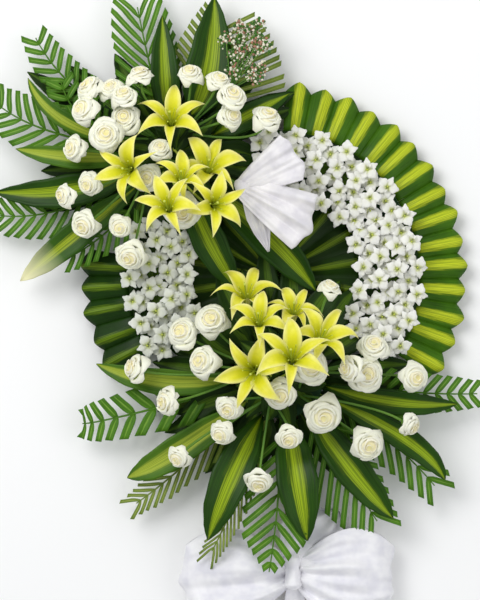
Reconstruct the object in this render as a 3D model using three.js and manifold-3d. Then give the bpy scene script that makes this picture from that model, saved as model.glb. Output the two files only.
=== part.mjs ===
// A funeral wreath lying on its back, face up: a foam ring on four laths, edged with pleated
// leaves and covered with white orchids, with two sprays of roses, lilies, broad leaves and cut
// palm fronds, a small bow in the upper spray and a large cloth bow at the foot.
// Millimetres. +X is the wreath's right, +Y its top, +Z its face; the origin is the centre of the
// ring on the back of the middle lath.
import * as THREE from 'three';
import Module from 'manifold-3d';

const wasm = await Module();
wasm.setup();

// Driving dimensions.
const CLEARANCE = 0.3; // between pieces that touch
const LEAST_GAP = 1.2 * CLEARANCE; // that a raised leaf or bloom keeps to every other piece
const BOX_MARGIN = 1; // pieces whose boxes are further apart than this aren't measured
const LATH_WIDTH = 30;
const LATH_THICKNESS = 10;
const FOAM_INNER_RADIUS = 180;
const FOAM_OUTER_RADIUS = 290;
const FOAM_TOP = 60;
const DRUM_RADIUS = 85; // the foam drum under each spray
const DRUM_TOP = 95;
const RIM_RADIUS = 394; // tips of the pleated leaves
const RIM_VALLEY_RADIUS = 370;
const PLEAT_ANGLE = 7.9; // degrees from one pleated leaf to the next
const BED_LEAVES = 18; // pleated leaves that close the middle of the ring
const LEAF_THICKNESS = 1.6;
const PETIOLE_WIDTH = 8;
const STALK_REACH = 3; // how far a stalk runs straight on outside its drum
const ROOT_DEPTH = 24; // how far a stalk reaches into its drum
const SHARED_ROOT = 44; // where the leaves of one shoot meet, from the drum's axis
const PEG_RADIUS = 8; // a wired bundle of stems
const PEG_BOTTOM = 64;
const PEG_TOP = 102;
const STEM_RADIUS = 2.6;
const STEM_STEPS = 3;
const STEM_RISE = 26; // a stem sets off upwards by this, and outwards by STEM_OUT
const STEM_OUT = 8;
const STEM_BEND = 0.35; // share of its length over which it turns to its bloom's axis
const HEAD_DEPTH = 0.86; // from a bloom's centre down to its stem, in radii
const LIFT_STEP = 4; // a bloom or leaf is raised by this until it clears its neighbours
const MOST_LIFTS = 60;
const SWAYS = [0, 14, -14, 28, -28, 42, -42]; // how far a stem may bow to one side

const UPPER = { x: -200, y: 240, floor: 10 };
const LOWER = { x: 16, y: -200, floor: 20 };
const UP = new THREE.Vector3(0, 0, 1);

const COLOURS = {
  wood: [0x9c7a4e, 0.8], foam: [0x2f5a34, 0.95], rim: [0x5c8a1e, 0.5], bed: [0x1f4a1c, 0.55],
  orchid: [0xf2f2ec, 0.6], palm: [0x2f6a26, 0.5], broad: [0x3c7a22, 0.45], lily: [0xe6e13c, 0.5],
  rose: [0xf6f2df, 0.6], cloth: [0xeceaf0, 0.8], filler: [0xb9a48c, 0.8],
};

// Solids.

const radians = (degrees) => degrees * Math.PI / 180;
const polar = (radius, degrees, z) => new THREE.Vector3(
  radius * Math.cos(radians(degrees)), radius * Math.sin(radians(degrees)), z);

/** A closed solid from points and triangles, turned to face outwards. */
function solidFrom(points, faces) {
  let volume = 0;
  for (const [a, b, c] of faces) {
    volume += points[a].dot(new THREE.Vector3().crossVectors(points[b], points[c]));
  }
  const turned = volume < 0 ? faces.map(([a, b, c]) => [a, c, b]) : faces;
  return new wasm.Manifold(new wasm.Mesh({
    numProp: 3,
    vertProperties: new Float32Array(points.flatMap((p) => [p.x, p.y, p.z])),
    triVerts: new Uint32Array(turned.flat()),
  }));
}

/** Skins rings of points, of any counts or single points, and caps the open ends. */
function loft(rings) {
  const points = [];
  const faces = [];
  const starts = rings.map((ring) => points.push(...ring) - ring.length);
  for (let k = 0; k + 1 < rings.length; k += 1) {
    const [low, high] = [rings[k].length, rings[k + 1].length];
    let i = low === 1 ? low : 0;
    let j = high === 1 ? high : 0;
    while (i < low || j < high) {
      const a = starts[k] + i % low;
      const b = starts[k + 1] + j % high;
      if (j >= high || (i < low && (i + 1) / low <= (j + 1) / high)) {
        faces.push([a, starts[k] + (i + 1) % low, b]);
        i += 1;
      } else {
        faces.push([a, starts[k + 1] + (j + 1) % high, b]);
        j += 1;
      }
    }
  }
  for (const [end, first, second] of [[0, 1, 0], [rings.length - 1, 0, 1]]) {
    const count = rings[end].length;
    if (count === 1) continue;
    const middle = points.push(rings[end].reduce((sum, p) => sum.add(p),
      new THREE.Vector3()).divideScalar(count)) - 1;
    for (let i = 0; i < count; i += 1) {
      faces.push([middle, starts[end] + (i + first) % count, starts[end] + (i + second) % count]);
    }
  }
  return solidFrom(points, faces);
}

/** A three.js geometry as a solid. */
function solidOf(geometry) {
  const position = geometry.getAttribute('position');
  const points = [];
  const found = new Map();
  const corner = (i) => {
    const p = new THREE.Vector3().fromBufferAttribute(position, i);
    const key = p.toArray().map((v) => v.toFixed(3)).join();
    if (!found.has(key)) found.set(key, points.push(p) - 1);
    return found.get(key);
  };
  const index = geometry.index ? [...geometry.index.array] : [...Array(position.count).keys()];
  const faces = [];
  for (let i = 0; i < index.length; i += 3) {
    const face = index.slice(i, i + 3).map(corner);
    if (new Set(face).size === 3) faces.push(face);
  }
  return solidFrom(points, faces);
}

const joined = (solids) => solids.reduce((whole, solid) => whole.add(solid));

/** The largest piece of a solid: scraps that a cut leaves are dropped. */
const mainPiece = (solid) => solid.decompose().sort((a, b) => b.volume() - a.volume())[0];

function box(low, high) {
  const size = new THREE.Vector3().subVectors(high, low);
  const middle = new THREE.Vector3().addVectors(low, high).divideScalar(2);
  return solidOf(new THREE.BoxGeometry(size.x, size.y, size.z)
    .translate(middle.x, middle.y, middle.z));
}

/** A drum or peg standing on z = low. */
function cylinder(x, y, radius, low, high, sides) {
  return solidOf(new THREE.CylinderGeometry(radius, radius, high - low, sides)
    .rotateX(Math.PI / 2).translate(x, y, (low + high) / 2));
}

/** Two unit vectors square to a direction; the first lies level. */
function frameOf(direction) {
  const level = new THREE.Vector3().crossVectors(direction, UP);
  if (level.length() < 1e-3) level.set(1, 0, 0);
  level.normalize();
  return [level, new THREE.Vector3().crossVectors(level, direction).normalize()];
}

// Placing. Every solid in place is kept with its node's name, and a new one is raised in small
// steps until it clears them.

const placed = [];

function place(node, solid) {
  placed.push({ node, solid, bounds: solid.boundingBox() });
  return solid;
}

function isClear(solid, ownNode = null) {
  const { min, max } = solid.boundingBox();
  return placed.every(({ node, solid: other, bounds }) => {
    if (node === ownNode) return true;
    const apart = [0, 1, 2].some((axis) => min[axis] > bounds.max[axis] + BOX_MARGIN
      || max[axis] < bounds.min[axis] - BOX_MARGIN);
    return apart || solid.minGap(other, 2 * CLEARANCE) > LEAST_GAP;
  });
}

function raised(name, build, accepts, sways = [0]) {
  for (let lift = 0; lift < MOST_LIFTS; lift += 1) {
    for (const sway of sways) {
      const made = build(lift * LIFT_STEP, sway);
      if (accepts(made)) return made;
    }
  }
  throw new Error(`${name} finds no clear place`);
}

// The group.

const wreath = new THREE.Group();

/** Adds a node to the wreath from its finished solid. */
function addNode(name, solid, colour) {
  const mesh = mainPiece(solid).getMesh();
  const geometry = new THREE.BufferGeometry();
  geometry.setAttribute('position', new THREE.BufferAttribute(mesh.vertProperties, 3));
  geometry.setIndex(new THREE.BufferAttribute(mesh.triVerts, 1));
  const [hex, roughness] = COLOURS[colour];
  const material = new THREE.MeshStandardMaterial({ color: hex, roughness, metalness: 0 });
  const node = new THREE.Mesh(geometry, material);
  node.name = name;
  wreath.add(node);
}

// Laths: three cross laths lie on the surface, and the spine lies on them and reaches the foot.

const LATHS = {
  lath_upper: { x: [-300, 150], y: UPPER.y, z: 0 },
  lath_middle: { x: [-270, 270], y: 0, z: 0 },
  lath_lower: { x: [-230, 230], y: LOWER.y, z: 0 },
};
const SPINE = { x: 38, y: [-640, 340], z: LATH_THICKNESS };

function makeLaths() {
  const half = LATH_WIDTH / 2;
  for (const [name, { x, y, z }] of Object.entries(LATHS)) {
    const lath = box(new THREE.Vector3(x[0], y - half, z),
      new THREE.Vector3(x[1], y + half, z + LATH_THICKNESS));
    addNode(name, place(name, lath), 'wood');
  }
  const spine = box(new THREE.Vector3(SPINE.x - half, SPINE.y[0], SPINE.z),
    new THREE.Vector3(SPINE.x + half, SPINE.y[1], SPINE.z + LATH_THICKNESS));
  addNode('lath_spine', place('lath_spine', spine), 'wood');
}

// Foam ring: two arcs that the orchids are pinned to. Each is an outline extruded upwards.

const ARCS = {
  right: { from: -35, to: 97, floor: 20 },
  left: { from: 158, to: 213, floor: 10 },
};

const ARC_STEP = 8; // degrees of an arc that one flat facet spans

/** A slab between two radii and two heights, over an arc of the ring. */
function arcSlab(from, to, inner, outer, low, high) {
  const steps = Math.round((to - from) / ARC_STEP);
  const rings = [];
  for (let k = 0; k <= steps; k += 1) {
    const angle = from + (to - from) * k / steps;
    rings.push([polar(inner, angle, low), polar(outer, angle, low),
      polar(outer, angle, high), polar(inner, angle, high)]);
  }
  return loft(rings);
}

function makeFoamArcs() {
  for (const [side, { from, to, floor }] of Object.entries(ARCS)) {
    const name = `foam_arc_${side}`;
    const arc = arcSlab(from, to, FOAM_INNER_RADIUS, FOAM_OUTER_RADIUS, floor, FOAM_TOP);
    addNode(name, place(name, arc), 'foam');
  }
}

// Pleated leaves: folded leaves stapled side by side, with a ridge along each midrib.

const RIM_LEAVES = {
  rim_leaves_upper: { from: 31.03, count: 7 },
  rim_leaves_lower: { from: -32.37, count: 8 },
  rim_leaves_left: { from: 172.03, count: 5 },
};
const RIM_ROOT = 46; // height of the leaves where they leave the foam
const RIM_GAP = 0.4; // between them and the foam
const RIDGE_RISE = 9;
const RIM_DROOP = 14;
const SHORTER_LEAF = 5; // every other leaf ends this much short of RIM_RADIUS

/** Pleated leaves side by side, as one thin folded sheet. */
function pleatedFan(from, count) {
  const rings = [];
  for (let k = 0; k <= 2 * count; k += 1) {
    const onRidge = k % 2 === 1;
    const angle = from + PLEAT_ANGLE * k / 2;
    const tip = onRidge ? RIM_RADIUS - SHORTER_LEAF * (k % 4 === 1) : RIM_VALLEY_RADIUS;
    const rise = onRidge ? RIDGE_RISE : -RIDGE_RISE / 2;
    const root = polar(FOAM_OUTER_RADIUS + RIM_GAP, angle, RIM_ROOT + rise / 3);
    const middle = polar((FOAM_OUTER_RADIUS + tip) / 2, angle, RIM_ROOT + rise - RIM_DROOP / 5);
    const end = polar(tip, angle, RIM_ROOT + rise - RIM_DROOP);
    const lower = [end, middle, root].map((p) => p.clone().setZ(p.z - LEAF_THICKNESS));
    rings.push([root, middle, end, ...lower]);
  }
  return loft(rings);
}

function makeRimLeaves() {
  for (const [name, { from, count }] of Object.entries(RIM_LEAVES)) {
    addNode(name, place(name, pleatedFan(from, count)), 'rim');
  }
}

const BED_HEIGHT = 36;
const BED_OUTER_RADIUS = FOAM_INNER_RADIUS - 1;
const BED_MIDDLE_RADIUS = 100;
const BED_VALLEY = -0.6; // depth of its valleys as a share of RIDGE_RISE
const BED_TO_DRUM = 1;

/** The pleated leaves that close the middle, as one star-folded disc cut clear of the drum. */
function makeLeafBed() {
  const rise = (k, radius) => (k % 2 ? 1 : BED_VALLEY) * RIDGE_RISE * radius / FOAM_INNER_RADIUS;
  const ring = (radius, drop) => Array.from({ length: 2 * BED_LEAVES }, (_, k) => polar(
    radius, 180 * k / BED_LEAVES, BED_HEIGHT - drop + rise(k, radius)));
  const disc = loft([
    [new THREE.Vector3(0, 0, BED_HEIGHT - LEAF_THICKNESS)],
    ring(BED_MIDDLE_RADIUS, LEAF_THICKNESS), ring(BED_OUTER_RADIUS, LEAF_THICKNESS),
    ring(BED_OUTER_RADIUS, 0), ring(BED_MIDDLE_RADIUS, 0),
    [new THREE.Vector3(0, 0, BED_HEIGHT)]]);
  const drum = cylinder(LOWER.x, LOWER.y, DRUM_RADIUS + BED_TO_DRUM, 0, DRUM_TOP, 24);
  addNode('leaf_bed', place('leaf_bed', mainPiece(disc.subtract(drum))), 'bed');
}

// Orchids: florets in rows on a thin mat of their own stalks.

const FLORET_RADIUS = 26;
const FLORET_ROWS = [176, 212, 249, 286];
const FLORET_PITCH = 51;
const FLORET_HEIGHT = 14; // of the lowest tier over the mat
const FLORET_TIER = 8;
const FLORET_STALK = [3.4, 2.2]; // radius at its foot and its top
const MAT_TOP = FOAM_TOP + 6;
const MAT_MARGIN = 6; // mat beyond the first and last rows
const MAT_SHORT = 3; // degrees that the mat ends short of its band
const ORCHIDS = {
  orchids_right_upper: [32, 98],
  orchids_right_lower: [-35, 31],
  orchids_left: [156, 215],
};

/** One five-petalled floret: a dished star with blunt petals on a three-sided stalk. */
function floret(centre, axis, roll, radius, foot) {
  const at = about(centre, axis);
  const outline = [];
  for (let petal = 0; petal < 5; petal += 1) {
    const middle = roll + 72 * petal;
    outline.push(at(radius, middle - 17, 2), at(radius, middle + 17, 2),
      at(radius * 0.36, middle + 36, -1));
  }
  const dish = loft([[at(0, 0, -3)], outline, [at(0, 0, 0.5)]]);
  const top = at(radius * 0.48, roll, 0.3);
  const triangle = (size, height) => [0, 120, 240].map((turn) => new THREE.Vector3(
    top.x + size * Math.cos(radians(turn)), top.y + size * Math.sin(radians(turn)), height));
  return dish.add(loft([triangle(FLORET_STALK[0], foot), triangle(FLORET_STALK[1], top.z)]));
}

function makeOrchids() {
  for (const [name, [from, to]] of Object.entries(ORCHIDS)) {
    const parts = [arcSlab(from + MAT_SHORT, to - MAT_SHORT, FLORET_ROWS[0] - MAT_MARGIN,
      FLORET_ROWS[3] + MAT_MARGIN, FOAM_TOP + CLEARANCE, MAT_TOP)];
    FLORET_ROWS.forEach((radius, row) => {
      const span = radians(to - from) * radius - FLORET_PITCH;
      const count = Math.max(2, Math.round(span / FLORET_PITCH));
      for (let k = 0; k <= count; k += 1) {
        const margin = 0.6 * FLORET_PITCH / radius * 180 / Math.PI;
        const angle = from + margin + (to - from - 2 * margin) * k / count;
        const wobble = Math.sin(row * 2.3 + k * 4.1);
        const tier = FLORET_HEIGHT + FLORET_TIER * ((row + 2 * k) % 3);
        const centre = polar(radius + 3 * wobble, angle, MAT_TOP + tier);
        const lean = 3 * (row - 1.5) + 2 * wobble;
        const axis = polar(Math.sin(radians(lean)), angle, Math.cos(radians(lean)));
        parts.push(floret(centre, axis, 90 + 25 * wobble, FLORET_RADIUS, MAT_TOP - 2));
      }
    });
    addNode(name, place(name, joined(parts)), 'orchid');
  }
}

// Leaves and fronds. Each is rooted in a drum's side, leaves it straight, and then follows a
// curve through a place half way along to its tip.

/** The path of a leaf: its root in the drum, where it leaves the drum, and a curve beyond. */
function leafPath(spray, via, tip, rootHeight, viaHeight, tipHeight, shared = null) {
  const centre = new THREE.Vector2(spray.x, spray.y);
  const out = new THREE.Vector2(via[0], via[1]).sub(centre).normalize();
  const at = (distance) => new THREE.Vector3(centre.x + out.x * distance,
    centre.y + out.y * distance, rootHeight);
  const exit = at(DRUM_RADIUS + STALK_REACH);
  const end = new THREE.Vector3(tip[0], tip[1], tipHeight);
  const control = new THREE.Vector3(via[0], via[1], viaHeight).multiplyScalar(2)
    .addScaledVector(exit, -0.5).addScaledVector(end, -0.5);
  const root = shared === null ? at(DRUM_RADIUS - ROOT_DEPTH)
    : polar(SHARED_ROOT, shared, rootHeight).add(new THREE.Vector3(spray.x, spray.y, 0));
  return { root, exit, curve: new THREE.QuadraticBezierCurve3(exit, control, end) };
}

/** The hole in a drum that a leaf's stalk stands in. */
function stalkSocket({ root, exit }) {
  const out = exit.clone().sub(root).normalize();
  const side = new THREE.Vector3().crossVectors(UP, out);
  const half = PETIOLE_WIDTH / 2 + CLEARANCE;
  const high = LEAF_THICKNESS + CLEARANCE;
  const ring = (point) => [[-half, -high], [half, -high], [half, high], [-half, high]]
    .map(([across, up]) => point.clone().addScaledVector(side, across).addScaledVector(UP, up));
  return loft([ring(root.clone().addScaledVector(out, -CLEARANCE)), ring(exit)]);
}

const LEAF_OUTLINE = [[0.08, 0.4], [0.26, 0.86], [0.5, 1], [0.74, 0.8], [0.91, 0.42]];

const LEAF_CUP = 0.13; // rise of a leaf's edges as a share of its width

/** A broad leaf: a channelled blade, thin at its edges, on a flat stalk. */
function broadLeaf(path, width) {
  const ring = (point, direction, across) => {
    const side = new THREE.Vector3().crossVectors(UP, direction).normalize();
    const rise = across > PETIOLE_WIDTH ? across * LEAF_CUP : 0;
    const edge = (sign, up) => point.clone().addScaledVector(side, sign * across / 2)
      .addScaledVector(UP, rise + up);
    const half = LEAF_THICKNESS / 2;
    return [edge(-1, half), point.clone().addScaledVector(UP, half), edge(1, half),
      edge(1, -half), point.clone().addScaledVector(UP, -half), edge(-1, -half)];
  };
  const out = path.exit.clone().sub(path.root);
  const rings = [ring(path.root, out, PETIOLE_WIDTH), ring(path.exit, out, PETIOLE_WIDTH)];
  for (const [t, share] of LEAF_OUTLINE) {
    rings.push(ring(path.curve.getPoint(t), path.curve.getTangent(t), width * share));
  }
  return loft([...rings, [path.curve.getPoint(1)]]);
}

const FROND_BARE = 0.1; // share of a frond's rib below its first leaflets
const FROND_TAPER = 0.45; // how much shorter its last leaflets are
const FROND_CUP = 0.1; // rise of its sides for each millimetre away from the rib
const LEAFLET_SHARE = 0.55; // of the pitch that a leaflet fills
const RIB_HALF = 0.6 * PETIOLE_WIDTH / 2;

/** A cut palm frond: leaflets on both sides of a rib, as one thin plate that follows the path. */
function palmFrond(path, { pairs, length, splay }) {
  const reach = path.curve.getLength();
  const pitch = reach * (1 - FROND_BARE) / pairs;
  const lean = radians(splay);
  const place3 = (along, across) => {
    const t = Math.min(1, Math.max(0, along / reach));
    const point = path.curve.getPointAt(t);
    const tangent = path.curve.getTangentAt(t);
    const side = new THREE.Vector3().crossVectors(UP, tangent).normalize();
    const beyond = along - t * reach;
    return point.addScaledVector(side, across).addScaledVector(tangent, beyond)
      .add(new THREE.Vector3(0, 0, FROND_CUP * Math.abs(across)));
  };
  const outline = [];
  for (const sign of [1, -1]) {
    const half = [];
    for (let k = 0; k < pairs; k += 1) {
      const along = reach * FROND_BARE + pitch * k;
      const leaflet = length * (1 - FROND_TAPER * (k / pairs) ** 2);
      const width = LEAFLET_SHARE * pitch * Math.sin(lean)
        / (2 * Math.sin(lean) + Math.cos(lean));
      const tip = [along + pitch / 2 + leaflet * Math.cos(lean), leaflet * Math.sin(lean)];
      half.push([along, RIB_HALF], [tip[0] - width, tip[1]], [tip[0] + width, tip[1] - width]);
    }
    half.push([reach, RIB_HALF]);
    const side = half.map(([along, across]) => [along, sign * across]);
    outline.push(...(sign === 1 ? side : side.reverse()));
  }
  const plan = outline.map(([along, across]) => place3(along, across));
  const rootSide = new THREE.Vector3().crossVectors(UP, path.exit.clone().sub(path.root))
    .normalize();
  for (const [point, sign] of [[path.exit, -1], [path.root, -1], [path.root, 1], [path.exit, 1]]) {
    plan.push(point.clone().addScaledVector(rootSide, sign * PETIOLE_WIDTH / 2));
  }
  return plate(plan);
}

/** A thin plate over an outline whose last four points are its stalk, cut alike on both faces. */
function plate(outline) {
  const flat = outline.map((p) => new THREE.Vector2(p.x, p.y));
  const count = outline.length;
  const area = ([a, b, c]) => THREE.ShapeUtils.area([flat[a], flat[b], flat[c]]);
  const upward = (cut) => (cut.reduce((sum, face) => sum + area(face), 0) < 0
    ? cut.map(([a, b, c]) => [a, c, b]) : cut);
  const kept = [...flat.keys()].filter((i) => i < count - 3 || i === count - 1);
  const blade = THREE.ShapeUtils.triangulateShape(kept.map((i) => flat[i]), [])
    .map((face) => face.map((i) => kept[i]));
  const stalk = [[count - 4, count - 3, count - 2], [count - 4, count - 2, count - 1]];
  const top = [...upward(blade), ...upward(stalk)];
  const half = LEAF_THICKNESS / 2;
  const points = [...outline.map((p) => p.clone().setZ(p.z + half)),
    ...outline.map((p) => p.clone().setZ(p.z - half))];
  const bottom = top.map(([a, b, c]) => [a + count, c + count, b + count]);
  const turned = THREE.ShapeUtils.isClockWise(flat);
  const walls = outline.flatMap((_, k) => {
    const [i, j] = turned ? [(k + 1) % count, k] : [k, (k + 1) % count];
    return [[j, i, i + count], [j, i + count, j + count]];
  });
  return solidFrom(points, [...top, ...bottom, ...walls]);
}

// Fronds: the spray, a place half way along, the tip, the leaflets' length and their angle.

const FRONDS = {
  palm_top: { spray: UPPER, via: [-246, 410], tip: [-274, 540], length: 104, splay: 40, pairs: 8 },
  palm_corner: { spray: UPPER, via: [-400, 378], tip: [-478, 478], length: 62, splay: 48, pairs: 8 },
  palm_shoulder: { spray: UPPER, via: [-376, 308], tip: [-428, 392], length: 56, splay: 58, pairs: 6 },
  palm_left_upper: { spray: UPPER, via: [-450, 290], tip: [-556, 346], length: 84, splay: 46, pairs: 7 },
  palm_left_lower: { spray: UPPER, via: [-424, 134], tip: [-556, 122], length: 76, splay: 47, pairs: 8 },
  palm_under_rose: { spray: UPPER, via: [-330, 92], tip: [-412, 36], length: 62, splay: 42, pairs: 6 },
  palm_crown: { spray: UPPER, via: [-126, 410], tip: [-98, 506], length: 104, splay: 56, pairs: 8 },
  palm_right: { spray: LOWER, via: [266, -232], tip: [408, -236], length: 58, splay: 52, pairs: 8 },
  palm_right_low: { spray: LOWER, via: [216, -318], tip: [322, -420], length: 86, splay: 40, pairs: 7 },
  palm_low_right: { spray: LOWER, via: [130, -372], tip: [206, -490], length: 96, splay: 42, pairs: 7 },
  palm_foot: { spray: LOWER, via: [8, -440], tip: [-10, -590], length: 92, splay: 42, pairs: 8 },
  palm_foot_left: { spray: LOWER, via: [-74, -440], tip: [-124, -548], length: 70, splay: 24, pairs: 8 },
  palm_left_fan: { spray: LOWER, via: [-180, -380], tip: [-276, -456], length: 66, splay: 34, pairs: 7 },
  palm_left_dark: { spray: LOWER, via: [-290, -278], tip: [-384, -296], length: 60, splay: 56, pairs: 6 },
};

// Broad leaves, by node: the spray, a place half way along, the tip, the width and the height
// of its root. Leaves of one shoot share a node.

const LEAVES = {
  leaf_tall: [{ spray: UPPER, via: [-132, 412], tip: [-120, 560], width: 92, root: 70 }],
  leaf_upright: [{ spray: UPPER, via: [-218, 396], tip: [-224, 522], width: 60, root: 72 }],
  leaf_left_long: [{ spray: UPPER, via: [-408, 170], tip: [-560, 168], width: 68, root: 70 }],
  leaf_shoot_shoulder: [
    { spray: UPPER, via: [-400, 236], tip: [-516, 254], width: 46, root: 74, shared: 171 },
    { spray: UPPER, via: [-420, 312], tip: [-492, 396], width: 34, root: 74, shared: 171 }],
  leaf_cream_tip: [{ spray: UPPER, via: [-404, 74], tip: [-508, -10], width: 60, root: 70 }],
  leaf_centre_right: [{ spray: UPPER, via: [-10, 74], tip: [84, -30], width: 76, root: 76 }],
  leaf_centre_left: [{ spray: UPPER, via: [-128, 66], tip: [-70, -30], width: 70, root: 72 }],
  leaf_top_right: [{ spray: UPPER, via: [-52, 318], tip: [32, 366], width: 50, root: 72 }],
  leaf_right: [{ spray: LOWER, via: [236, -252], tip: [368, -256], width: 52, root: 72 }],
  leaf_right_low: [{ spray: LOWER, via: [262, -326], tip: [342, -408], width: 52, root: 74 }],
  leaf_low_right: [{ spray: LOWER, via: [156, -386], tip: [238, -484], width: 72, root: 72 }],
  leaf_low: [{ spray: LOWER, via: [46, -408], tip: [66, -528], width: 84, root: 72 }],
  leaf_low_left: [{ spray: LOWER, via: [-86, -400], tip: [-132, -526], width: 80, root: 72 }],
  leaf_shoot_left: [
    { spray: LOWER, via: [-196, -352], tip: [-294, -404], width: 64, root: 72, shared: 199 },
    { spray: LOWER, via: [-222, -212], tip: [-356, -176], width: 54, root: 72, shared: 199 }],
};

const FROND_HEIGHTS = { root: 46, via: 52, tip: 50 };
const LEAF_ARCH = 14; // rise of a leaf half way along, above its root
const LEAF_DROP = 4; // of its tip below its root

const sockets = [];

function leafNodes() {
  for (const [name, plan] of Object.entries(FRONDS)) {
    const make = (lift) => {
      const path = leafPath(plan.spray, plan.via, plan.tip, FROND_HEIGHTS.root,
        FROND_HEIGHTS.via + lift, FROND_HEIGHTS.tip + lift);
      return { path, solid: palmFrond(path, plan) };
    };
    const made = raised(name, make, ({ solid }) => isClear(solid));
    sockets.push({ spray: plan.spray, solid: stalkSocket(made.path) });
    addNode(name, place(name, made.solid), 'palm');
  }
  for (const [name, blades] of Object.entries(LEAVES)) {
    const parts = blades.map((plan) => {
      const make = (lift) => {
        const path = leafPath(plan.spray, plan.via, plan.tip, plan.root,
          plan.root + LEAF_ARCH + lift, plan.root - LEAF_DROP + lift, plan.shared);
        return { path, solid: broadLeaf(path, plan.width) };
      };
      const made = raised(name, make, ({ solid }) => isClear(solid, name));
      sockets.push({ spray: plan.spray, solid: stalkSocket(made.path) });
      return place(name, made.solid);
    });
    addNode(name, joined(parts), 'broad');
  }
}

// Blooms. Each head stands over its spray's dome, leans outwards by its own angle, and hangs on
// a stem from a wired peg in the drum.

const DOME_HEIGHT = 70;
const DOME_RADIUS = 300;
const DOME_BASE = 128;

function domeHeight(spray, x, y) {
  const distance = Math.hypot(x - spray.x, y - spray.y);
  return DOME_BASE + DOME_HEIGHT * Math.max(0, 1 - (distance / DOME_RADIUS) ** 2);
}

function leaning(lean, bearing) {
  return new THREE.Vector3(Math.sin(radians(lean)) * Math.cos(radians(bearing)),
    Math.sin(radians(lean)) * Math.sin(radians(bearing)), Math.cos(radians(lean)));
}

/** Points at a distance, angle and height about a flower's axis. */
function about(centre, axis) {
  const [side, other] = frameOf(axis);
  return (distance, degrees, height) => centre.clone()
    .addScaledVector(side, distance * Math.cos(radians(degrees)))
    .addScaledVector(other, distance * Math.sin(radians(degrees)))
    .addScaledVector(axis, height);
}

/** A rose head's rings, in radii: an outer and an inner whorl of petals round its heart. */
function roseHead(centre, axis, radius, roll) {
  const at = about(centre, axis);
  const ring = (tip, gap, tipHeight, gapHeight) => Array.from({ length: 10 }, (_, k) => at(
    radius * (k % 2 ? gap : tip), roll + 36 * k, radius * (k % 2 ? gapHeight : tipHeight)));
  return [ring(1, 0.84, 0.04, -0.2), ring(0.6, 0.68, -0.04, 0.04), ring(0.46, 0.62, 0.26, 0.42),
    [at(0, 0, radius * 0.22)]];
}

/** A lily head's rings, in radii: six tepals that rise from its throat and bend back. */
function lilyHead(centre, axis, radius, roll) {
  const at = about(centre, axis);
  const ring = (stations) => Array.from({ length: 24 }, (_, k) => {
    const [distance, turn, height] = stations[k % 4];
    const inner = Math.floor(k / 4) % 2 ? 0 : 0.04;
    return at(radius * distance, roll + 60 * Math.floor(k / 4) + turn,
      radius * (height - inner));
  });
  const under = ring([[0.16, -30, -0.6], [0.22, -14, -0.52], [0.24, 0, -0.5], [0.22, 14, -0.52]]);
  const edge = ring([[0.3, -30, -0.36], [0.7, -17, 0.03], [1, 0, -0.16], [0.7, 17, 0.03]]);
  const over = ring([[0.24, -30, -0.3], [0.34, -14, -0.16], [0.36, 0, -0.2], [0.34, 14, -0.16]]);
  return [under, edge, over, [at(0, 0, -radius * 0.42)]];
}

/** The rings of a stem from a peg to the foot of a bloom, bowed sideways by its sway. */
function stemTo(peg, foot, axis, roll, sway = 0) {
  const centre = new THREE.Vector3(peg.x, peg.y, PEG_TOP - 3);
  const out = foot.clone().sub(centre).setZ(0).normalize();
  const start = centre.clone().addScaledVector(out, PEG_RADIUS - STEM_RADIUS - 1);
  const reach = foot.distanceTo(start) * STEM_BEND;
  const bow = new THREE.Vector3().crossVectors(UP, out).multiplyScalar(sway);
  const rise = start.clone().addScaledVector(UP, STEM_RISE).addScaledVector(out, STEM_OUT)
    .add(bow);
  const curve = new THREE.CubicBezierCurve3(start, rise,
    foot.clone().addScaledVector(axis, -reach).add(bow), foot);
  const rings = [];
  const side = frameOf(axis)[0];
  for (let k = STEM_STEPS; k >= 0; k -= 1) {
    const along = k === STEM_STEPS ? axis : curve.getTangent(k / STEM_STEPS);
    side.addScaledVector(along, -side.dot(along)).normalize();
    const other = new THREE.Vector3().crossVectors(side, along);
    rings.unshift([0, 120, 240].map((turn) => curve.getPoint(k / STEM_STEPS)
      .addScaledVector(side, STEM_RADIUS * Math.cos(radians(roll + turn)))
      .addScaledVector(other, STEM_RADIUS * Math.sin(radians(roll + turn)))));
  }
  return rings;
}

// Blooms by node: the bearing and distance of its peg from the drum's axis, and each bloom's
// place, radius, lean and the bearing it leans to.

const LILIES = {
  lilies_upper_a: { spray: UPPER, peg: [110, 20], blooms: [
    [-204, 318, 68, 26, 90, 95], [-128, 224, 67, 30, 80, 40], [-182, 200, 54, 30, 85, 88]] },
  lilies_upper_b: { spray: UPPER, peg: [240, 24], blooms: [
    [-296, 212, 63, 20, 170, 60], [-212, 142, 61, 22, 110, 90], [-112, 142, 61, 14, 20, 25]] },
  lilies_lower_a: { spray: LOWER, peg: [60, 24], blooms: [
    [-56, -24, 65, 42, 95, 60], [40, -60, 54, 44, 85, 60], [98, -112, 67, 36, 65, 30]] },
  lilies_lower_b: { spray: LOWER, peg: [210, 22], blooms: [
    [-30, -80, 59, 34, 90, 90], [34, -150, 74, 24, 90, 95], [-46, -190, 72, 10, 200, 100]] },
};

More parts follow.
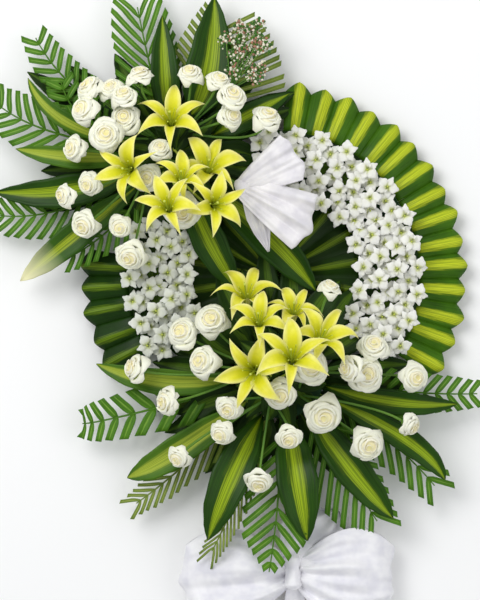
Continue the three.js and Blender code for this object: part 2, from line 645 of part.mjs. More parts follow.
const HEART_ROSES = {
  roses_upper_heart: { spray: UPPER, peg: [330, 34], blooms: [
    [-226, 252, 25, 28, 90], [-252, 192, 31, 6, 180], [-180, 126, 38, 10, 270]] },
  roses_lower_right: { spray: LOWER, peg: [310, 47], blooms: [
    [72, -178, 40, 10, 0], [10, -236, 33, 12, 260], [98, -278, 38, 14, 290],
    [186, -336, 36, 22, 310], [272, -298, 28, 64, 330]] },
};
const ROSES = {
  roses_upper_left: { spray: UPPER, peg: [200, 47], blooms: [
    [-398, 252, 30, 42, 175], [-368, 182, 27, 30, 200], [-418, 158, 27, 50, 190],
    [-378, 100, 31, 34, 215], [-306, 96, 25, 20, 240], [-286, 38, 33, 30, 250]] },
  roses_upper_corner: { spray: UPPER, peg: [135, 47], blooms: [
    [-368, 374, 32, 58, 135], [-378, 328, 32, 40, 155], [-324, 372, 27, 40, 120],
    [-298, 356, 29, 40, 100], [-296, 312, 33, 18, 135], [-332, 278, 36, 6, 135]] },
  roses_upper_top: { spray: UPPER, peg: [70, 47], blooms: [
    [-266, 398, 30, 62, 95], [-168, 402, 27, 42, 95], [-110, 388, 27, 45, 70],
    [-82, 356, 31, 36, 60], [-84, 316, 27, 30, 30], [-14, 316, 32, 48, 70]] },
  roses_lower_left: { spray: LOWER, peg: [165, 47], blooms: [
    [-184, -112, 34, 24, 140], [-126, -88, 36, 20, 110], [-144, -170, 34, 34, 160],
    [-278, -184, 32, 60, 165], [-216, -250, 30, 48, 185]] },
  roses_lower_foot: { spray: LOWER, peg: [240, 47], blooms: [
    [-90, -264, 28, 26, 240], [-106, -314, 27, 32, 235], [-192, -362, 26, 42, 225],
    [-32, -410, 30, 40, 262], [30, -322, 29, 28, 270]] },
  roses_lower_far_right: { spray: LOWER, peg: [10, 47], blooms: [
    [182, -196, 38, 14, 350], [196, -138, 32, 30, 80], [280, -202, 31, 20, 350],
    [146, -184, 30, 46, 190], [110, -22, 24, 56, 70]] },
};

const PEG_PLAY = 1.4 * CLEARANCE; // round a peg in its socket

/** One node of blooms: each head and stem is raised clear, then all are joined at the peg. */
function bloomNode(name, { spray, peg, blooms }, headOf, colour) {
  const foot = { x: spray.x + peg[1] * Math.cos(radians(peg[0])),
    y: spray.y + peg[1] * Math.sin(radians(peg[0])) };
  const parts = [cylinder(foot.x, foot.y, PEG_RADIUS, PEG_BOTTOM, PEG_TOP, 6)];
  sockets.push({ spray, solid: cylinder(foot.x, foot.y, PEG_RADIUS + PEG_PLAY,
    PEG_BOTTOM - CLEARANCE, PEG_TOP, 6) });
  place(name, parts[0]);
  const heads = [];
  blooms.forEach(([x, y, radius, lean, bearing, roll = 17 * x]) => {
    const axis = leaning(lean, bearing);
    const make = (lift, sway) => {
      const centre = new THREE.Vector3(x, y, domeHeight(spray, x, y) + lift);
      const base = centre.clone().addScaledVector(axis, -radius * HEAD_DEPTH);
      const rings = headOf(centre, axis, radius, roll);
      return { head: loft([[base], ...rings]),
        whole: loft([...stemTo(foot, base, axis, roll, sway), ...rings]) };
    };
    const accepts = ({ head, whole }) => isClear(head, name) && isClear(whole, name)
      && heads.every((other) => head.minGap(other, 1) > CLEARANCE);
    const made = raised(`${name} at ${x}, ${y}`, make, accepts, SWAYS);
    heads.push(made.head);
    parts.push(place(name, made.whole));
  });
  addNode(name, joined(parts), colour);
}

// Filler: a twiggy spray of small dry florets at the top right of the upper spray.

const FILLER = {
  via: [-84, 420],
  tip: [-30, 500],
  rootHeight: 84,
  fork: [-86, 372, 108],
  twigs: [[-66, 470], [-34, 498], [-8, 452], [-58, 420], [-96, 470], [-20, 410], [-48, 446]],
  height: 104, // of the lowest floret
  tier: 9,
  florets: 11, // radius of each tuft
  stalk: 1.5,
  stem: 2,
  twig: 1.4,
};

function makeFiller() {
  const name = 'filler_sprig';
  const root = leafPath(UPPER, FILLER.via, FILLER.tip, FILLER.rootHeight, 0, 0);
  sockets.push({ spray: UPPER, solid: stalkSocket(root) });
  const rod = (from, to, radius) => {
    const [side, other] = frameOf(to.clone().sub(from));
    return loft([from, to].map((point) => [90, 210, 330].map((turn) => point.clone()
      .addScaledVector(side, radius * Math.cos(radians(turn)))
      .addScaledVector(other, radius * Math.sin(radians(turn))))));
  };
  const make = (lift) => {
    const fork = new THREE.Vector3(...FILLER.fork);
    fork.z += lift;
    const low = root.exit.clone().lerp(root.root, 0.1);
    const parts = [rod(root.root, root.exit, FILLER.stalk), rod(low, fork, FILLER.stem)];
    FILLER.twigs.forEach(([x, y], k) => {
      const tip = new THREE.Vector3(x, y, FILLER.height + lift + FILLER.tier * (k % 3));
      const tuft = new THREE.OctahedronGeometry(FILLER.florets);
      parts.push(rod(fork, tip, FILLER.twig), solidOf(tuft.translate(tip.x, tip.y, tip.z)));
    });
    return joined(parts);
  };
  const sprig = raised(name, make, (solid) => isClear(solid));
  addNode(name, place(name, sprig), 'filler');
}

// Cloth. Each lobe of a bow is a puffed, pleated solid between its gathered end and its far end.

/** A lobe along a line of stations: [x, y, z, half width, half height]. */
function lobe(stations, folds = 5) {
  const points = stations.map(([x, y, z]) => new THREE.Vector3(x, y, z));
  const rings = points.map((point, k) => {
    const before = points[Math.max(0, k - 1)];
    const after = points[Math.min(points.length - 1, k + 1)];
    const along = after.clone().sub(before).setZ(0).normalize();
    const side = new THREE.Vector3().crossVectors(UP, along);
    const [, , , wide, high] = stations[k];
    return Array.from({ length: 2 * folds }, (_, i) => {
      const turn = Math.PI * i / folds;
      const fold = i % 2 ? 0.84 : 1;
      return point.clone().addScaledVector(side, wide * fold * Math.cos(turn))
        .addScaledVector(UP, high * fold * Math.sin(turn));
    });
  });
  return loft(rings);
}

const UPPER_BOW = {
  peg: { bearing: -12, distance: 66, radius: 5 },
  knot: [-66, 176],
  knotRadius: 15,
  height: 150,
  stemFoot: 8, // below the knot's centre
  stemAxis: [0.4, -0.2, 0.9],
  lobes: [
    [[-60, 180, 0, 10, 10], [-20, 212, 14, 30, 16], [24, 244, 20, 34, 18], [44, 256, 22, 26, 12]],
    [[-58, 172, 0, 10, 10], [-6, 142, 16, 42, 22], [48, 112, 22, 54, 24], [72, 98, 20, 50, 14]],
    [[-60, 168, -2, 8, 8], [-36, 120, 0, 20, 10], [-18, 66, -6, 8, 5]],
  ],
};

function makeUpperBow() {
  const name = 'bow_upper';
  const { bearing, distance, radius } = UPPER_BOW.peg;
  const peg = { x: UPPER.x + distance * Math.cos(radians(bearing)),
    y: UPPER.y + distance * Math.sin(radians(bearing)) };
  const pin = cylinder(peg.x, peg.y, radius, PEG_BOTTOM, PEG_TOP, 6);
  sockets.push({ spray: UPPER, solid: cylinder(peg.x, peg.y, radius + PEG_PLAY,
    PEG_BOTTOM - CLEARANCE, PEG_TOP, 6) });
  const make = (lift) => {
    const raise = UPPER_BOW.height + lift;
    const lobes = UPPER_BOW.lobes.map((stations) => lobe(stations
      .map(([x, y, z, ...size]) => [x, y, z + raise, ...size])));
    const [x, y] = UPPER_BOW.knot;
    const knot = solidOf(new THREE.SphereGeometry(UPPER_BOW.knotRadius, 8, 6)
      .translate(x, y, raise));
    const foot = new THREE.Vector3(x, y, raise - UPPER_BOW.stemFoot);
    const axis = new THREE.Vector3(...UPPER_BOW.stemAxis).normalize();
    const stem = loft(stemTo(peg, foot, axis, 0));
    return joined([pin, stem, knot, ...lobes]);
  };
  const bow = raised(name, make, (solid) => isClear(solid));
  addNode(name, place(name, bow), 'cloth');
}

const FOOT_LOBES = {
  foot_bow_left: [[14, -592, 58, 26, 22], [-30, -588, 62, 62, 46], [-92, -590, 62, 92, 56],
    [-150, -604, 56, 84, 50], [-182, -612, 50, 52, 34]],
  foot_bow_right: [[62, -592, 58, 26, 22], [104, -596, 62, 64, 46], [160, -606, 62, 98, 56],
    [214, -616, 56, 88, 50], [244, -618, 50, 54, 34]],
};
// The collar, the knot's wrap and the tail, cut clear of the spine over SPINE_SLOT.
const COLLAR = [[40, -568, 66, 18, 12], [62, -530, 74, 54, 14], [88, -500, 68, 48, 12],
  [112, -462, 60, 12, 6]];
const KNOT = [[38, -552, 62, 20, 30], [38, -572, 62, 23, 34], [38, -612, 62, 23, 34],
  [38, -632, 56, 20, 28]];
const TAIL = [[40, -624, 50, 16, 10], [44, -680, 26, 26, 10], [48, -748, 14, 32, 8],
  [50, -772, 12, 30, 6]];
const SPINE_SLOT = [-700, -500];

function makeFootBow() {
  const grown = (stations, by) => lobe(stations
    .map(([x, y, z, wide, high]) => [x, y, z, wide + by, high + by]), 4);
  const middle = (by) => joined([KNOT, TAIL, COLLAR].map((stations) => grown(stations, by)));
  const half = LATH_WIDTH / 2 + CLEARANCE;
  const slot = box(new THREE.Vector3(SPINE.x - half, SPINE_SLOT[0], 0),
    new THREE.Vector3(SPINE.x + half, SPINE_SLOT[1], 2 * LATH_THICKNESS + CLEARANCE));
  addNode('foot_bow_knot', place('foot_bow_knot', mainPiece(middle(0).subtract(slot))), 'cloth');
  for (const [name, stations] of Object.entries(FOOT_LOBES)) {
    const cut = mainPiece(lobe(stations).subtract(middle(2 * CLEARANCE)).subtract(slot));
    addNode(name, place(name, cut), 'cloth');
  }
}

function makeDrums() {
  for (const [name, spray] of [['foam_drum_upper', UPPER], ['foam_drum_lower', LOWER]]) {
    const holes = sockets.filter((socket) => socket.spray === spray).map(({ solid }) => solid);
    const drum = cylinder(spray.x, spray.y, DRUM_RADIUS, spray.floor, DRUM_TOP, 18);
    addNode(name, drum.subtract(joined(holes)), 'foam');
  }
}

makeLaths();
makeFoamArcs();
makeRimLeaves();
makeLeafBed();
makeOrchids();
makeFootBow();
leafNodes();
for (const [name, plan] of Object.entries(HEART_ROSES)) bloomNode(name, plan, roseHead, 'rose');
for (const [name, plan] of Object.entries(LILIES)) bloomNode(name, plan, lilyHead, 'lily');
makeUpperBow();
for (const [name, plan] of Object.entries(ROSES)) bloomNode(name, plan, roseHead, 'rose');
makeFiller();
makeDrums();

export default wreath;
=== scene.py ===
"""A funeral wreath laid face up: orchid ring, pleated leaf edge, two flower sprays and two bows."""

import logging
import math
from dataclasses import dataclass, field
from enum import Enum
from random import Random
from typing import Callable

import bmesh
import bpy
from mathutils import Matrix, Vector, noise
from mathutils.kdtree import KDTree


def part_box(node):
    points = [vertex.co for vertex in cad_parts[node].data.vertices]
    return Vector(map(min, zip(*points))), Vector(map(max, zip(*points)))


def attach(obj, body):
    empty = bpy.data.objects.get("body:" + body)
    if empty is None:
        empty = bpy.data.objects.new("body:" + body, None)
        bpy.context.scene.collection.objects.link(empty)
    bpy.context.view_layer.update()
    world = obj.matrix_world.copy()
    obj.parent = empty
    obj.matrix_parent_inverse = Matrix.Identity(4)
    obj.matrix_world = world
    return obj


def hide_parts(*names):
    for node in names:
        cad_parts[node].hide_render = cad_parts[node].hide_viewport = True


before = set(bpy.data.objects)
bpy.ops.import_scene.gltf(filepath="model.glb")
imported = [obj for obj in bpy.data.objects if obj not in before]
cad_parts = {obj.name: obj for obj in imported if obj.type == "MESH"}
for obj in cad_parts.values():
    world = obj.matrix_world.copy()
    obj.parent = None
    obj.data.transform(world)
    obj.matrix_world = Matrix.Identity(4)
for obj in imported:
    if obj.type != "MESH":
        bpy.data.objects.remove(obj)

LOG = logging.getLogger("wreath")
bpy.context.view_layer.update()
MM = 0.001
UP = Vector((0.0, 0.0, 1.0))
Shape = Callable[[float, float], Vector]


def polar(radius: float, degrees: float, height: float) -> Vector:
    """Returns the point at a radius and bearing from the ring's centre, in millimetres."""
    turn = math.radians(degrees)
    return Vector((radius * math.cos(turn), radius * math.sin(turn), height))


def blend(low: float, high: float, share: float) -> float:
    """Returns the value that lies a share of the way from low to high."""
    return low + (high - low) * share


def eased(share: float) -> float:
    """Returns a share clamped to 0..1 and eased at both ends."""
    share = min(1.0, max(0.0, share))
    return share * share * (3.0 - 2.0 * share)


def frame_of(axis: Vector) -> tuple[Vector, Vector]:
    """Returns two unit vectors square to an axis, the first of them level."""
    side = axis.cross(UP)
    side = Vector((1.0, 0.0, 0.0)) if side.length < 1e-3 else side.normalized()
    return side, side.cross(axis).normalized()


def leaning(lean: float, bearing: float) -> Vector:
    """Returns the unit vector that leans from upright by an angle towards a bearing, in degrees."""
    tilt = math.radians(lean)
    return polar(math.sin(tilt), bearing, math.cos(tilt))


# Node trees and colours.


def linear(code: str) -> tuple[float, float, float, float]:
    """Turns an sRGB hex colour such as "f2f0e6" into linear red, green, blue and alpha."""
    parts = [int(code[i:i + 2], 16) / 255.0 for i in (0, 2, 4)]
    turned = [c / 12.92 if c <= 0.04045 else ((c + 0.055) / 1.055) ** 2.4 for c in parts]
    return turned[0], turned[1], turned[2], 1.0


def add_node(tree: bpy.types.NodeTree, kind: str, settings: dict | None = None,
             links: dict | None = None) -> bpy.types.Node:
    """Adds one node with its settings and its links.

    Args:
        tree: the material's node tree.
        kind: the node's type name.
        settings: attribute names, or input names and numbers, with their values.
        links: input names or numbers, each with the output socket that feeds it.

    Returns:
        The new node.
    """
    node = tree.nodes.new(kind)
    for name, value in (settings or {}).items():
        if isinstance(name, str) and hasattr(node, name):
            setattr(node, name, value)
        else:
            node.inputs[name].default_value = value
    for name, socket in (links or {}).items():
        tree.links.new(socket, node.inputs[name])
    return node


def colour_ramp(tree: bpy.types.NodeTree, source: bpy.types.NodeSocket,
                stops: list[tuple[float, str]]) -> bpy.types.NodeSocket:
    """Adds a colour ramp to a tree.

    Args:
        tree: the material's node tree.
        source: the socket whose value, from 0 to 1, picks the colour.
        stops: places from 0 to 1, each with its sRGB hex colour.

    Returns:
        The ramp's colour socket.
    """
    node = add_node(tree, "ShaderNodeValToRGB", links={"Fac": source})
    ramp = node.color_ramp
    while len(ramp.elements) < len(stops):
        ramp.elements.new(1.0)
    for element, (place, code) in zip(ramp.elements, stops):
        element.position = place
        element.color = linear(code)
    return node.outputs["Color"]


def mixed_with(tree: bpy.types.NodeTree, share: bpy.types.NodeSocket,
               base: bpy.types.NodeSocket, code: str) -> bpy.types.NodeSocket:
    """Mixes a second colour over a first.

    Args:
        tree: the material's node tree.
        share: the socket that says how much of the second colour shows.
        base: the first colour's socket.
        code: the second colour, in sRGB hex.

    Returns:
        The mixed colour's socket.
    """
    node = add_node(tree, "ShaderNodeMix", {"data_type": "RGBA"}, {0: share, 6: base})
    node.inputs[7].default_value = linear(code)
    return node.outputs[2]


def new_material(name: str) -> tuple[bpy.types.Material, bpy.types.NodeTree, bpy.types.Node]:
    """Returns a new material, its node tree and its Principled shader."""
    material = bpy.data.materials.new(name)
    material.use_nodes = True
    tree = material.node_tree
    return material, tree, tree.nodes["Principled BSDF"]


@dataclass(frozen=True)
class PetalFinish:
    """A soft matt petal: colour runs from its foot to its rim, with fine veins along it."""

    name: str
    stops: tuple[tuple[float, str], ...]
    roughness: float = 0.55
    glow: float = 0.12
    vein_depth: float = 0.15
    mottle: str = "e8e4c8"
    mottle_share: float = 0.25
    margin: str | None = None
    margin_from: float = 0.3

    def build(self) -> bpy.types.Material:
        """Makes the petal's material from its UV map and a fine noise."""
        material, tree, shader = new_material(self.name)
        place = add_node(tree, "ShaderNodeTexCoord")
        split = add_node(tree, "ShaderNodeSeparateXYZ", links={0: place.outputs["UV"]})
        base = colour_ramp(tree, split.outputs["Y"], list(self.stops))
        # Petal tissue varies over about 12 mm.
        patches = add_node(tree, "ShaderNodeTexNoise", {"Scale": 1.0 / (12 * MM), "Detail": 3.0},
                           {"Vector": place.outputs["Object"]})
        share = add_node(tree, "ShaderNodeMapRange", {"From Min": 0.45, "From Max": 0.75,
                         "To Max": self.mottle_share}, {"Value": patches.outputs["Fac"]})
        colour = mixed_with(tree, share.outputs["Result"], base, self.mottle)
        if self.margin:
            off = add_node(tree, "ShaderNodeMath", {"operation": "SUBTRACT", 1: 0.5},
                           {0: split.outputs["X"]})
            size = add_node(tree, "ShaderNodeMath", {"operation": "ABSOLUTE"},
                            {0: off.outputs[0]})
            near = add_node(tree, "ShaderNodeMapRange", {"From Min": self.margin_from,
                            "From Max": 0.55}, {"Value": size.outputs[0]})
            colour = mixed_with(tree, near.outputs["Result"], colour, self.margin)
        tree.links.new(colour, shader.inputs["Base Color"])
        # Veins run from foot to rim, about 1.5 mm apart on a 30 mm petal.
        stretched = add_node(tree, "ShaderNodeMapping", {"Scale": (20.0, 1.5, 1.0)},
                             {"Vector": place.outputs["UV"]})
        veins = add_node(tree, "ShaderNodeTexNoise", {"Scale": 1.0, "Detail": 2.0},
                         {"Vector": stretched.outputs["Vector"]})
        bump = add_node(tree, "ShaderNodeBump", {"Strength": self.vein_depth, "Distance": 1 * MM},
                        {"Height": veins.outputs["Fac"]})
        tree.links.new(bump.outputs["Normal"], shader.inputs["Normal"])
        shader.inputs["Roughness"].default_value = self.roughness
        shader.inputs["IOR"].default_value = 1.4
        shader.inputs["Subsurface Weight"].default_value = self.glow
        shader.inputs["Subsurface Radius"].default_value = (1.0, 0.95, 0.85)
        shader.inputs["Subsurface Scale"].default_value = 4 * MM
        return material


@dataclass(frozen=True)
class LeafFinish:
    """A satin leaf with a bright stripe along it and lengthwise streaks."""

    name: str
    dark: str
    light: str
    stripe: str
    stripe_half: float = 0.12
    stripe_blur: float = 0.1
    streaks: float = 0.55
    roughness: float = 0.42
    tip: str | None = None
    narrowing: float = 0.2

    def build(self) -> bpy.types.Material:
        """Makes the leaf's material: u runs across the blade, v from its stalk to its tip."""
        material, tree, shader = new_material(self.name)
        place = add_node(tree, "ShaderNodeTexCoord")
        split = add_node(tree, "ShaderNodeSeparateXYZ", links={0: place.outputs["UV"]})
        # Veins lie side by side, so streaks run lengthwise: one each 3 mm of a 66 mm blade,
        # and finer ones each 1.8 mm.
        stretched = add_node(tree, "ShaderNodeMapping", {"Scale": (22.0, 1.2, 1.0)},
                             {"Vector": place.outputs["UV"]})
        streak = add_node(tree, "ShaderNodeTexNoise", {"Scale": 1.0, "Detail": 4.0,
                          "Roughness": 0.65}, {"Vector": stretched.outputs["Vector"]})
        finer = add_node(tree, "ShaderNodeMapping", {"Scale": (36.0, 1.0, 1.0),
                         "Location": (3.0, 7.0, 0.0)}, {"Vector": place.outputs["UV"]})
        fine = add_node(tree, "ShaderNodeTexNoise", {"Scale": 1.0, "Detail": 3.0,
                        "Roughness": 0.6}, {"Vector": finer.outputs["Vector"]})
        broad = add_node(tree, "ShaderNodeTexNoise", {"Scale": 1.0 / (60 * MM), "Detail": 2.0},
                         {"Vector": place.outputs["Object"]})
        both = add_node(tree, "ShaderNodeMath", {"operation": "MULTIPLY_ADD", 1: self.streaks},
                        {0: streak.outputs["Fac"]})
        spread = add_node(tree, "ShaderNodeMath", {"operation": "MULTIPLY", 1: 1 - self.streaks},
                          {0: broad.outputs["Fac"]})
        tree.links.new(spread.outputs[0], both.inputs[2])
        colour = colour_ramp(tree, both.outputs[0], [(0.3, self.dark), (0.68, self.light)])
        # The stripe wanders with the streaks and narrows towards both ends.
        away = add_node(tree, "ShaderNodeMath", {"operation": "SUBTRACT", 1: 0.5},
                        {0: split.outputs["X"]})
        size = add_node(tree, "ShaderNodeMath", {"operation": "ABSOLUTE"}, {0: away.outputs[0]})
        wander = add_node(tree, "ShaderNodeMath", {"operation": "MULTIPLY_ADD", 1: 0.5, 2: -0.25},
                          {0: streak.outputs["Fac"]})
        edge = add_node(tree, "ShaderNodeMath", {"operation": "ADD"},
                        {0: size.outputs[0], 1: wander.outputs[0]})
        half_way = add_node(tree, "ShaderNodeMath", {"operation": "SUBTRACT", 1: 0.5},
                            {0: split.outputs["Y"]})
        end = add_node(tree, "ShaderNodeMath", {"operation": "MULTIPLY"},
                       {0: half_way.outputs[0], 1: half_way.outputs[0]})
        edge = add_node(tree, "ShaderNodeMath", {"operation": "MULTIPLY_ADD", 1: self.narrowing},
                        {0: end.outputs[0], 2: edge.outputs[0]})
        mask = add_node(tree, "ShaderNodeMapRange", {
            "interpolation_type": "SMOOTHSTEP", "From Min": self.stripe_half,
            "From Max": self.stripe_half + self.stripe_blur, "To Min": 1.0, "To Max": 0.0},
            {"Value": edge.outputs[0]})
        lit = add_node(tree, "ShaderNodeMapRange", {"From Min": 0.38, "From Max": 0.6,
                       "To Min": 0.35}, {"Value": fine.outputs["Fac"]})
        broken = add_node(tree, "ShaderNodeMath", {"operation": "MULTIPLY"},
                          {0: mask.outputs["Result"], 1: lit.outputs["Result"]})
        colour = mixed_with(tree, broken.outputs[0], colour, self.stripe)
        if self.tip:
            near = add_node(tree, "ShaderNodeMapRange", {"From Min": 0.62, "From Max": 0.95},
                            {"Value": split.outputs["Y"]})
            colour = mixed_with(tree, near.outputs["Result"], colour, self.tip)
        tree.links.new(colour, shader.inputs["Base Color"])
        bump = add_node(tree, "ShaderNodeBump", {"Strength": 0.25, "Distance": 1 * MM},
                        {"Height": streak.outputs["Fac"]})
        tree.links.new(bump.outputs["Normal"], shader.inputs["Normal"])
        worn = add_node(tree, "ShaderNodeMapRange", {"To Min": self.roughness - 0.1,
                        "To Max": self.roughness + 0.12}, {"Value": broad.outputs["Fac"]})
        tree.links.new(worn.outputs["Result"], shader.inputs["Roughness"])
        shader.inputs["Specular IOR Level"].default_value = 0.15
        shader.inputs["Subsurface Weight"].default_value = 0.05
        shader.inputs["Subsurface Radius"].default_value = (0.8, 1.0, 0.5)
        shader.inputs["Subsurface Scale"].default_value = 2 * MM
        return material


@dataclass(frozen=True)
class ClothFinish:
    """Thin woven cloth: a fine plain weave with a soft sheen, with slow patches of grey: painted
    shade, standing for the shade where it creases.
    """

    name: str
    light: str
    shade: str
    thread_mm: float
    alpha: float = 1.0

    def build(self) -> bpy.types.Material:
        """Makes the cloth's material; two crossed waves stand for its warp and its weft."""
        material, tree, shader = new_material(self.name)
        place = add_node(tree, "ShaderNodeTexCoord")
        # Patches about 30 mm across run from the shade colour to the light one: painted shade.
        painted_fold_shade = add_node(tree, "ShaderNodeTexNoise", {"Scale": 1.0 / (30 * MM), "Detail": 2.0},
                         {"Vector": place.outputs["Object"]})
        colour = colour_ramp(tree, painted_fold_shade.outputs["Fac"], [(0.35, self.shade), (0.65, self.light)])
        tree.links.new(colour, shader.inputs["Base Color"])
        # The real thread is finer than this; it is drawn as coarse as it needs to show.
        waves = [add_node(tree, "ShaderNodeTexWave", {
            "bands_direction": way, "Scale": math.pi / 10 / (self.thread_mm * MM)},
            {"Vector": place.outputs["Object"]}) for way in ("X", "Y")]
        weave = add_node(tree, "ShaderNodeMath", {"operation": "ADD"},
                         {0: waves[0].outputs["Fac"], 1: waves[1].outputs["Fac"]})
        bump = add_node(tree, "ShaderNodeBump", {"Strength": 0.1, "Distance": 0.3 * MM},
                        {"Height": weave.outputs[0]})
        tree.links.new(bump.outputs["Normal"], shader.inputs["Normal"])
        shader.inputs["Roughness"].default_value = 0.7
        shader.inputs["Sheen Weight"].default_value = 0.35
        shader.inputs["Alpha"].default_value = self.alpha
        shader.inputs["Subsurface Weight"].default_value = 0.1
        shader.inputs["Subsurface Radius"].default_value = (1.0, 1.0, 1.0)
        shader.inputs["Subsurface Scale"].default_value = 4 * MM
        return material


@dataclass(frozen=True)
class GrainFinish:
    """A solid stuff with grain: foam pores or wood fibres, read from Object coordinates."""

    name: str
    dark: str
    light: str
    scale: tuple[float, float, float]
    depth_mm: float
    roughness: float

    def build(self) -> bpy.types.Material:
        """Makes the grained material, its noise stretched by the given scale."""
        material, tree, shader = new_material(self.name)
        place = add_node(tree, "ShaderNodeTexCoord")
        stretched = add_node(tree, "ShaderNodeMapping", {"Scale": self.scale},
                             {"Vector": place.outputs["Object"]})
        grain = add_node(tree, "ShaderNodeTexNoise", {"Scale": 1.0, "Detail": 5.0,
                         "Roughness": 0.7}, {"Vector": stretched.outputs["Vector"]})
        colour = colour_ramp(tree, grain.outputs["Fac"], [(0.3, self.dark), (0.7, self.light)])
        tree.links.new(colour, shader.inputs["Base Color"])
        bump = add_node(tree, "ShaderNodeBump", {"Strength": 0.6, "Distance": self.depth_mm * MM},
                        {"Height": grain.outputs["Fac"]})
        tree.links.new(bump.outputs["Normal"], shader.inputs["Normal"])
        shader.inputs["Roughness"].default_value = self.roughness
        return material


class Finish(Enum):
    """The wreath's finishes, each named for what it really is."""

    # Rose petals are matt and waxy: cream-white, a little green where they join.
    ROSE = PetalFinish("white_rose_petal", (
        (0.0, "d6dc90"), (0.3, "eeeec0"), (0.65, "f7f7dc"), (1.0, "fcfbea")), glow=0.2,
        mottle="f3f0cc")
    HEART = PetalFinish("cream_rose_heart", (
        (0.0, "e3da92"), (0.4, "f3ebbe"), (0.8, "faf4d8"), (1.0, "fdf9e8")), glow=0.2,
        mottle="f6efc8")
    # Lily tepals are satin and strongly yellow, paler along their margins.
    LILY = PetalFinish("yellow_lily_tepal", (
        (0.0, "86981a"), (0.18, "c4c818"), (0.5, "e2dd24"), (0.8, "ece558"), (1.0, "f2eeaa")),
        roughness=0.45, vein_depth=0.5, mottle="ccce20", mottle_share=0.45,
        margin="f4ee9c", margin_from=0.22)
    # Dendrobium petals are matt white with a yellow-green throat.
    ORCHID = PetalFinish("white_dendrobium_petal", (
        (0.0, "96a83c"), (0.16, "d3d894"), (0.34, "f0efe2"), (1.0, "fbfaf4")),
        glow=0.3, mottle="e4e3dc")
    # The florets of the left band take a greyer, greener copy of the white petal: painted shade,
    # for that band lies in shade.
    YOUNG_ORCHID = PetalFinish("dendrobium_petal_painted_shade", (
        (0.0, "889a36"), (0.16, "c0c884"), (0.34, "d6d8c6"), (1.0, "e6e8de")),
        glow=0.3, mottle="ced2c4")
    # Stems and calyces are a matt mid green.
    STEM = PetalFinish("green_flower_stem", ((0.0, "3c6a20"), (1.0, "6b9434")), mottle="4c7a2a")
    STAMEN = PetalFinish("pale_green_stamen", ((0.0, "c6d258"), (1.0, "93a82c")), mottle="b9c446")
    # Dried florets are dull and dusty, some pinkish and some nearly white.
    FILLER = PetalFinish("dried_pink_floret", ((0.0, "a8806a"), (0.5, "c9a48c"), (1.0, "dcbca6")),
                         roughness=0.85, mottle="b4614c", mottle_share=0.6)
    BRACT = PetalFinish("dried_cream_bract", ((0.0, "e0dcc4"), (1.0, "fbf6ee")), roughness=0.8,
                        mottle="f0dcd6", mottle_share=0.5)
    # Variegated leaves are satin, dark at their edges, with a bright streaked band.
    PLEATED = LeafFinish("pleated_pandan_leaf", "21420a", "4b7a12", "c8d42c", 0.12, 0.15)
    # The left rim's leaves take this darker copy of the pleated leaf: painted shade.
    PLEATED_DARK = LeafFinish("shaded_pleated_leaf", "0d2003", "1e4008", "668212", 0.06, 0.14)
    # The leaves that close the middle take this near-black copy: painted shade, for the middle lies
    # deep in shade.
    BED = LeafFinish("shaded_pandan_leaf", "0d1f04", "234208", "6f8a14", 0.07, 0.12)
    BROAD = LeafFinish("dracaena_leaf", "0f2605", "2d540b", "98b01c", 0.08, 0.15,
                       streaks=0.75, roughness=0.4)
    PALE = LeafFinish("yellowish_dracaena_leaf", "2b5210", "557c1e", "abb93e", 0.14, 0.18,
                      roughness=0.45)
    CREAM_TIP = LeafFinish("cream_tipped_leaf", "1c3c08", "3c6510", "9cac28", 0.06, 0.14,
                           tip="e6e3b4")
    # The back layer's leaves and the orchid mats take this dark copy: painted shade.
    SHADED = LeafFinish("shaded_broad_leaf", "0d1f04", "26450a", "537414", 0.08, 0.14,
                        roughness=0.5)
    # Palm leaflets are thin and satin, with a fine pale fold along each.
    PALM = LeafFinish("palm_leaflet", "2c560e", "5d8f24", "82a942", 0.01, 0.1, roughness=0.42)
    OLIVE = LeafFinish("ageing_palm_leaflet", "4f6d22", "86983e", "acb162", 0.02, 0.1)
    # Voile is sheer and soft; what lies under it shows through a little.
    VOILE = ClothFinish("white_voile", "f8f5f6", "e4e1e6", 0.9, 0.9)
    SATEEN = ClothFinish("white_sateen", "f4f3f5", "e2e1e8", 1.1)
    # Floral foam is a dull open-pored foam, with pores of about 1 mm.
    FOAM = GrainFinish("wet_floral_foam", "0f2b12", "224c26", (900.0, 900.0, 900.0), 0.8, 0.95)
    # Softwood grain runs along the laths, with rings about 3 mm apart.
    WOOD = GrainFinish("planed_pine", "7d5d36", "b8945f", (30.0, 300.0, 300.0), 0.3, 0.7)
    WOOD_LONG = GrainFinish("planed_pine_lengthwise", "7d5d36", "b8945f", (300.0, 30.0, 300.0),
                            0.3, 0.7)

    def material(self) -> bpy.types.Material:
        """Returns this finish's material, made the first time it is asked for."""
        return bpy.data.materials.get(self.value.name) or self.value.build()


# Meshes.


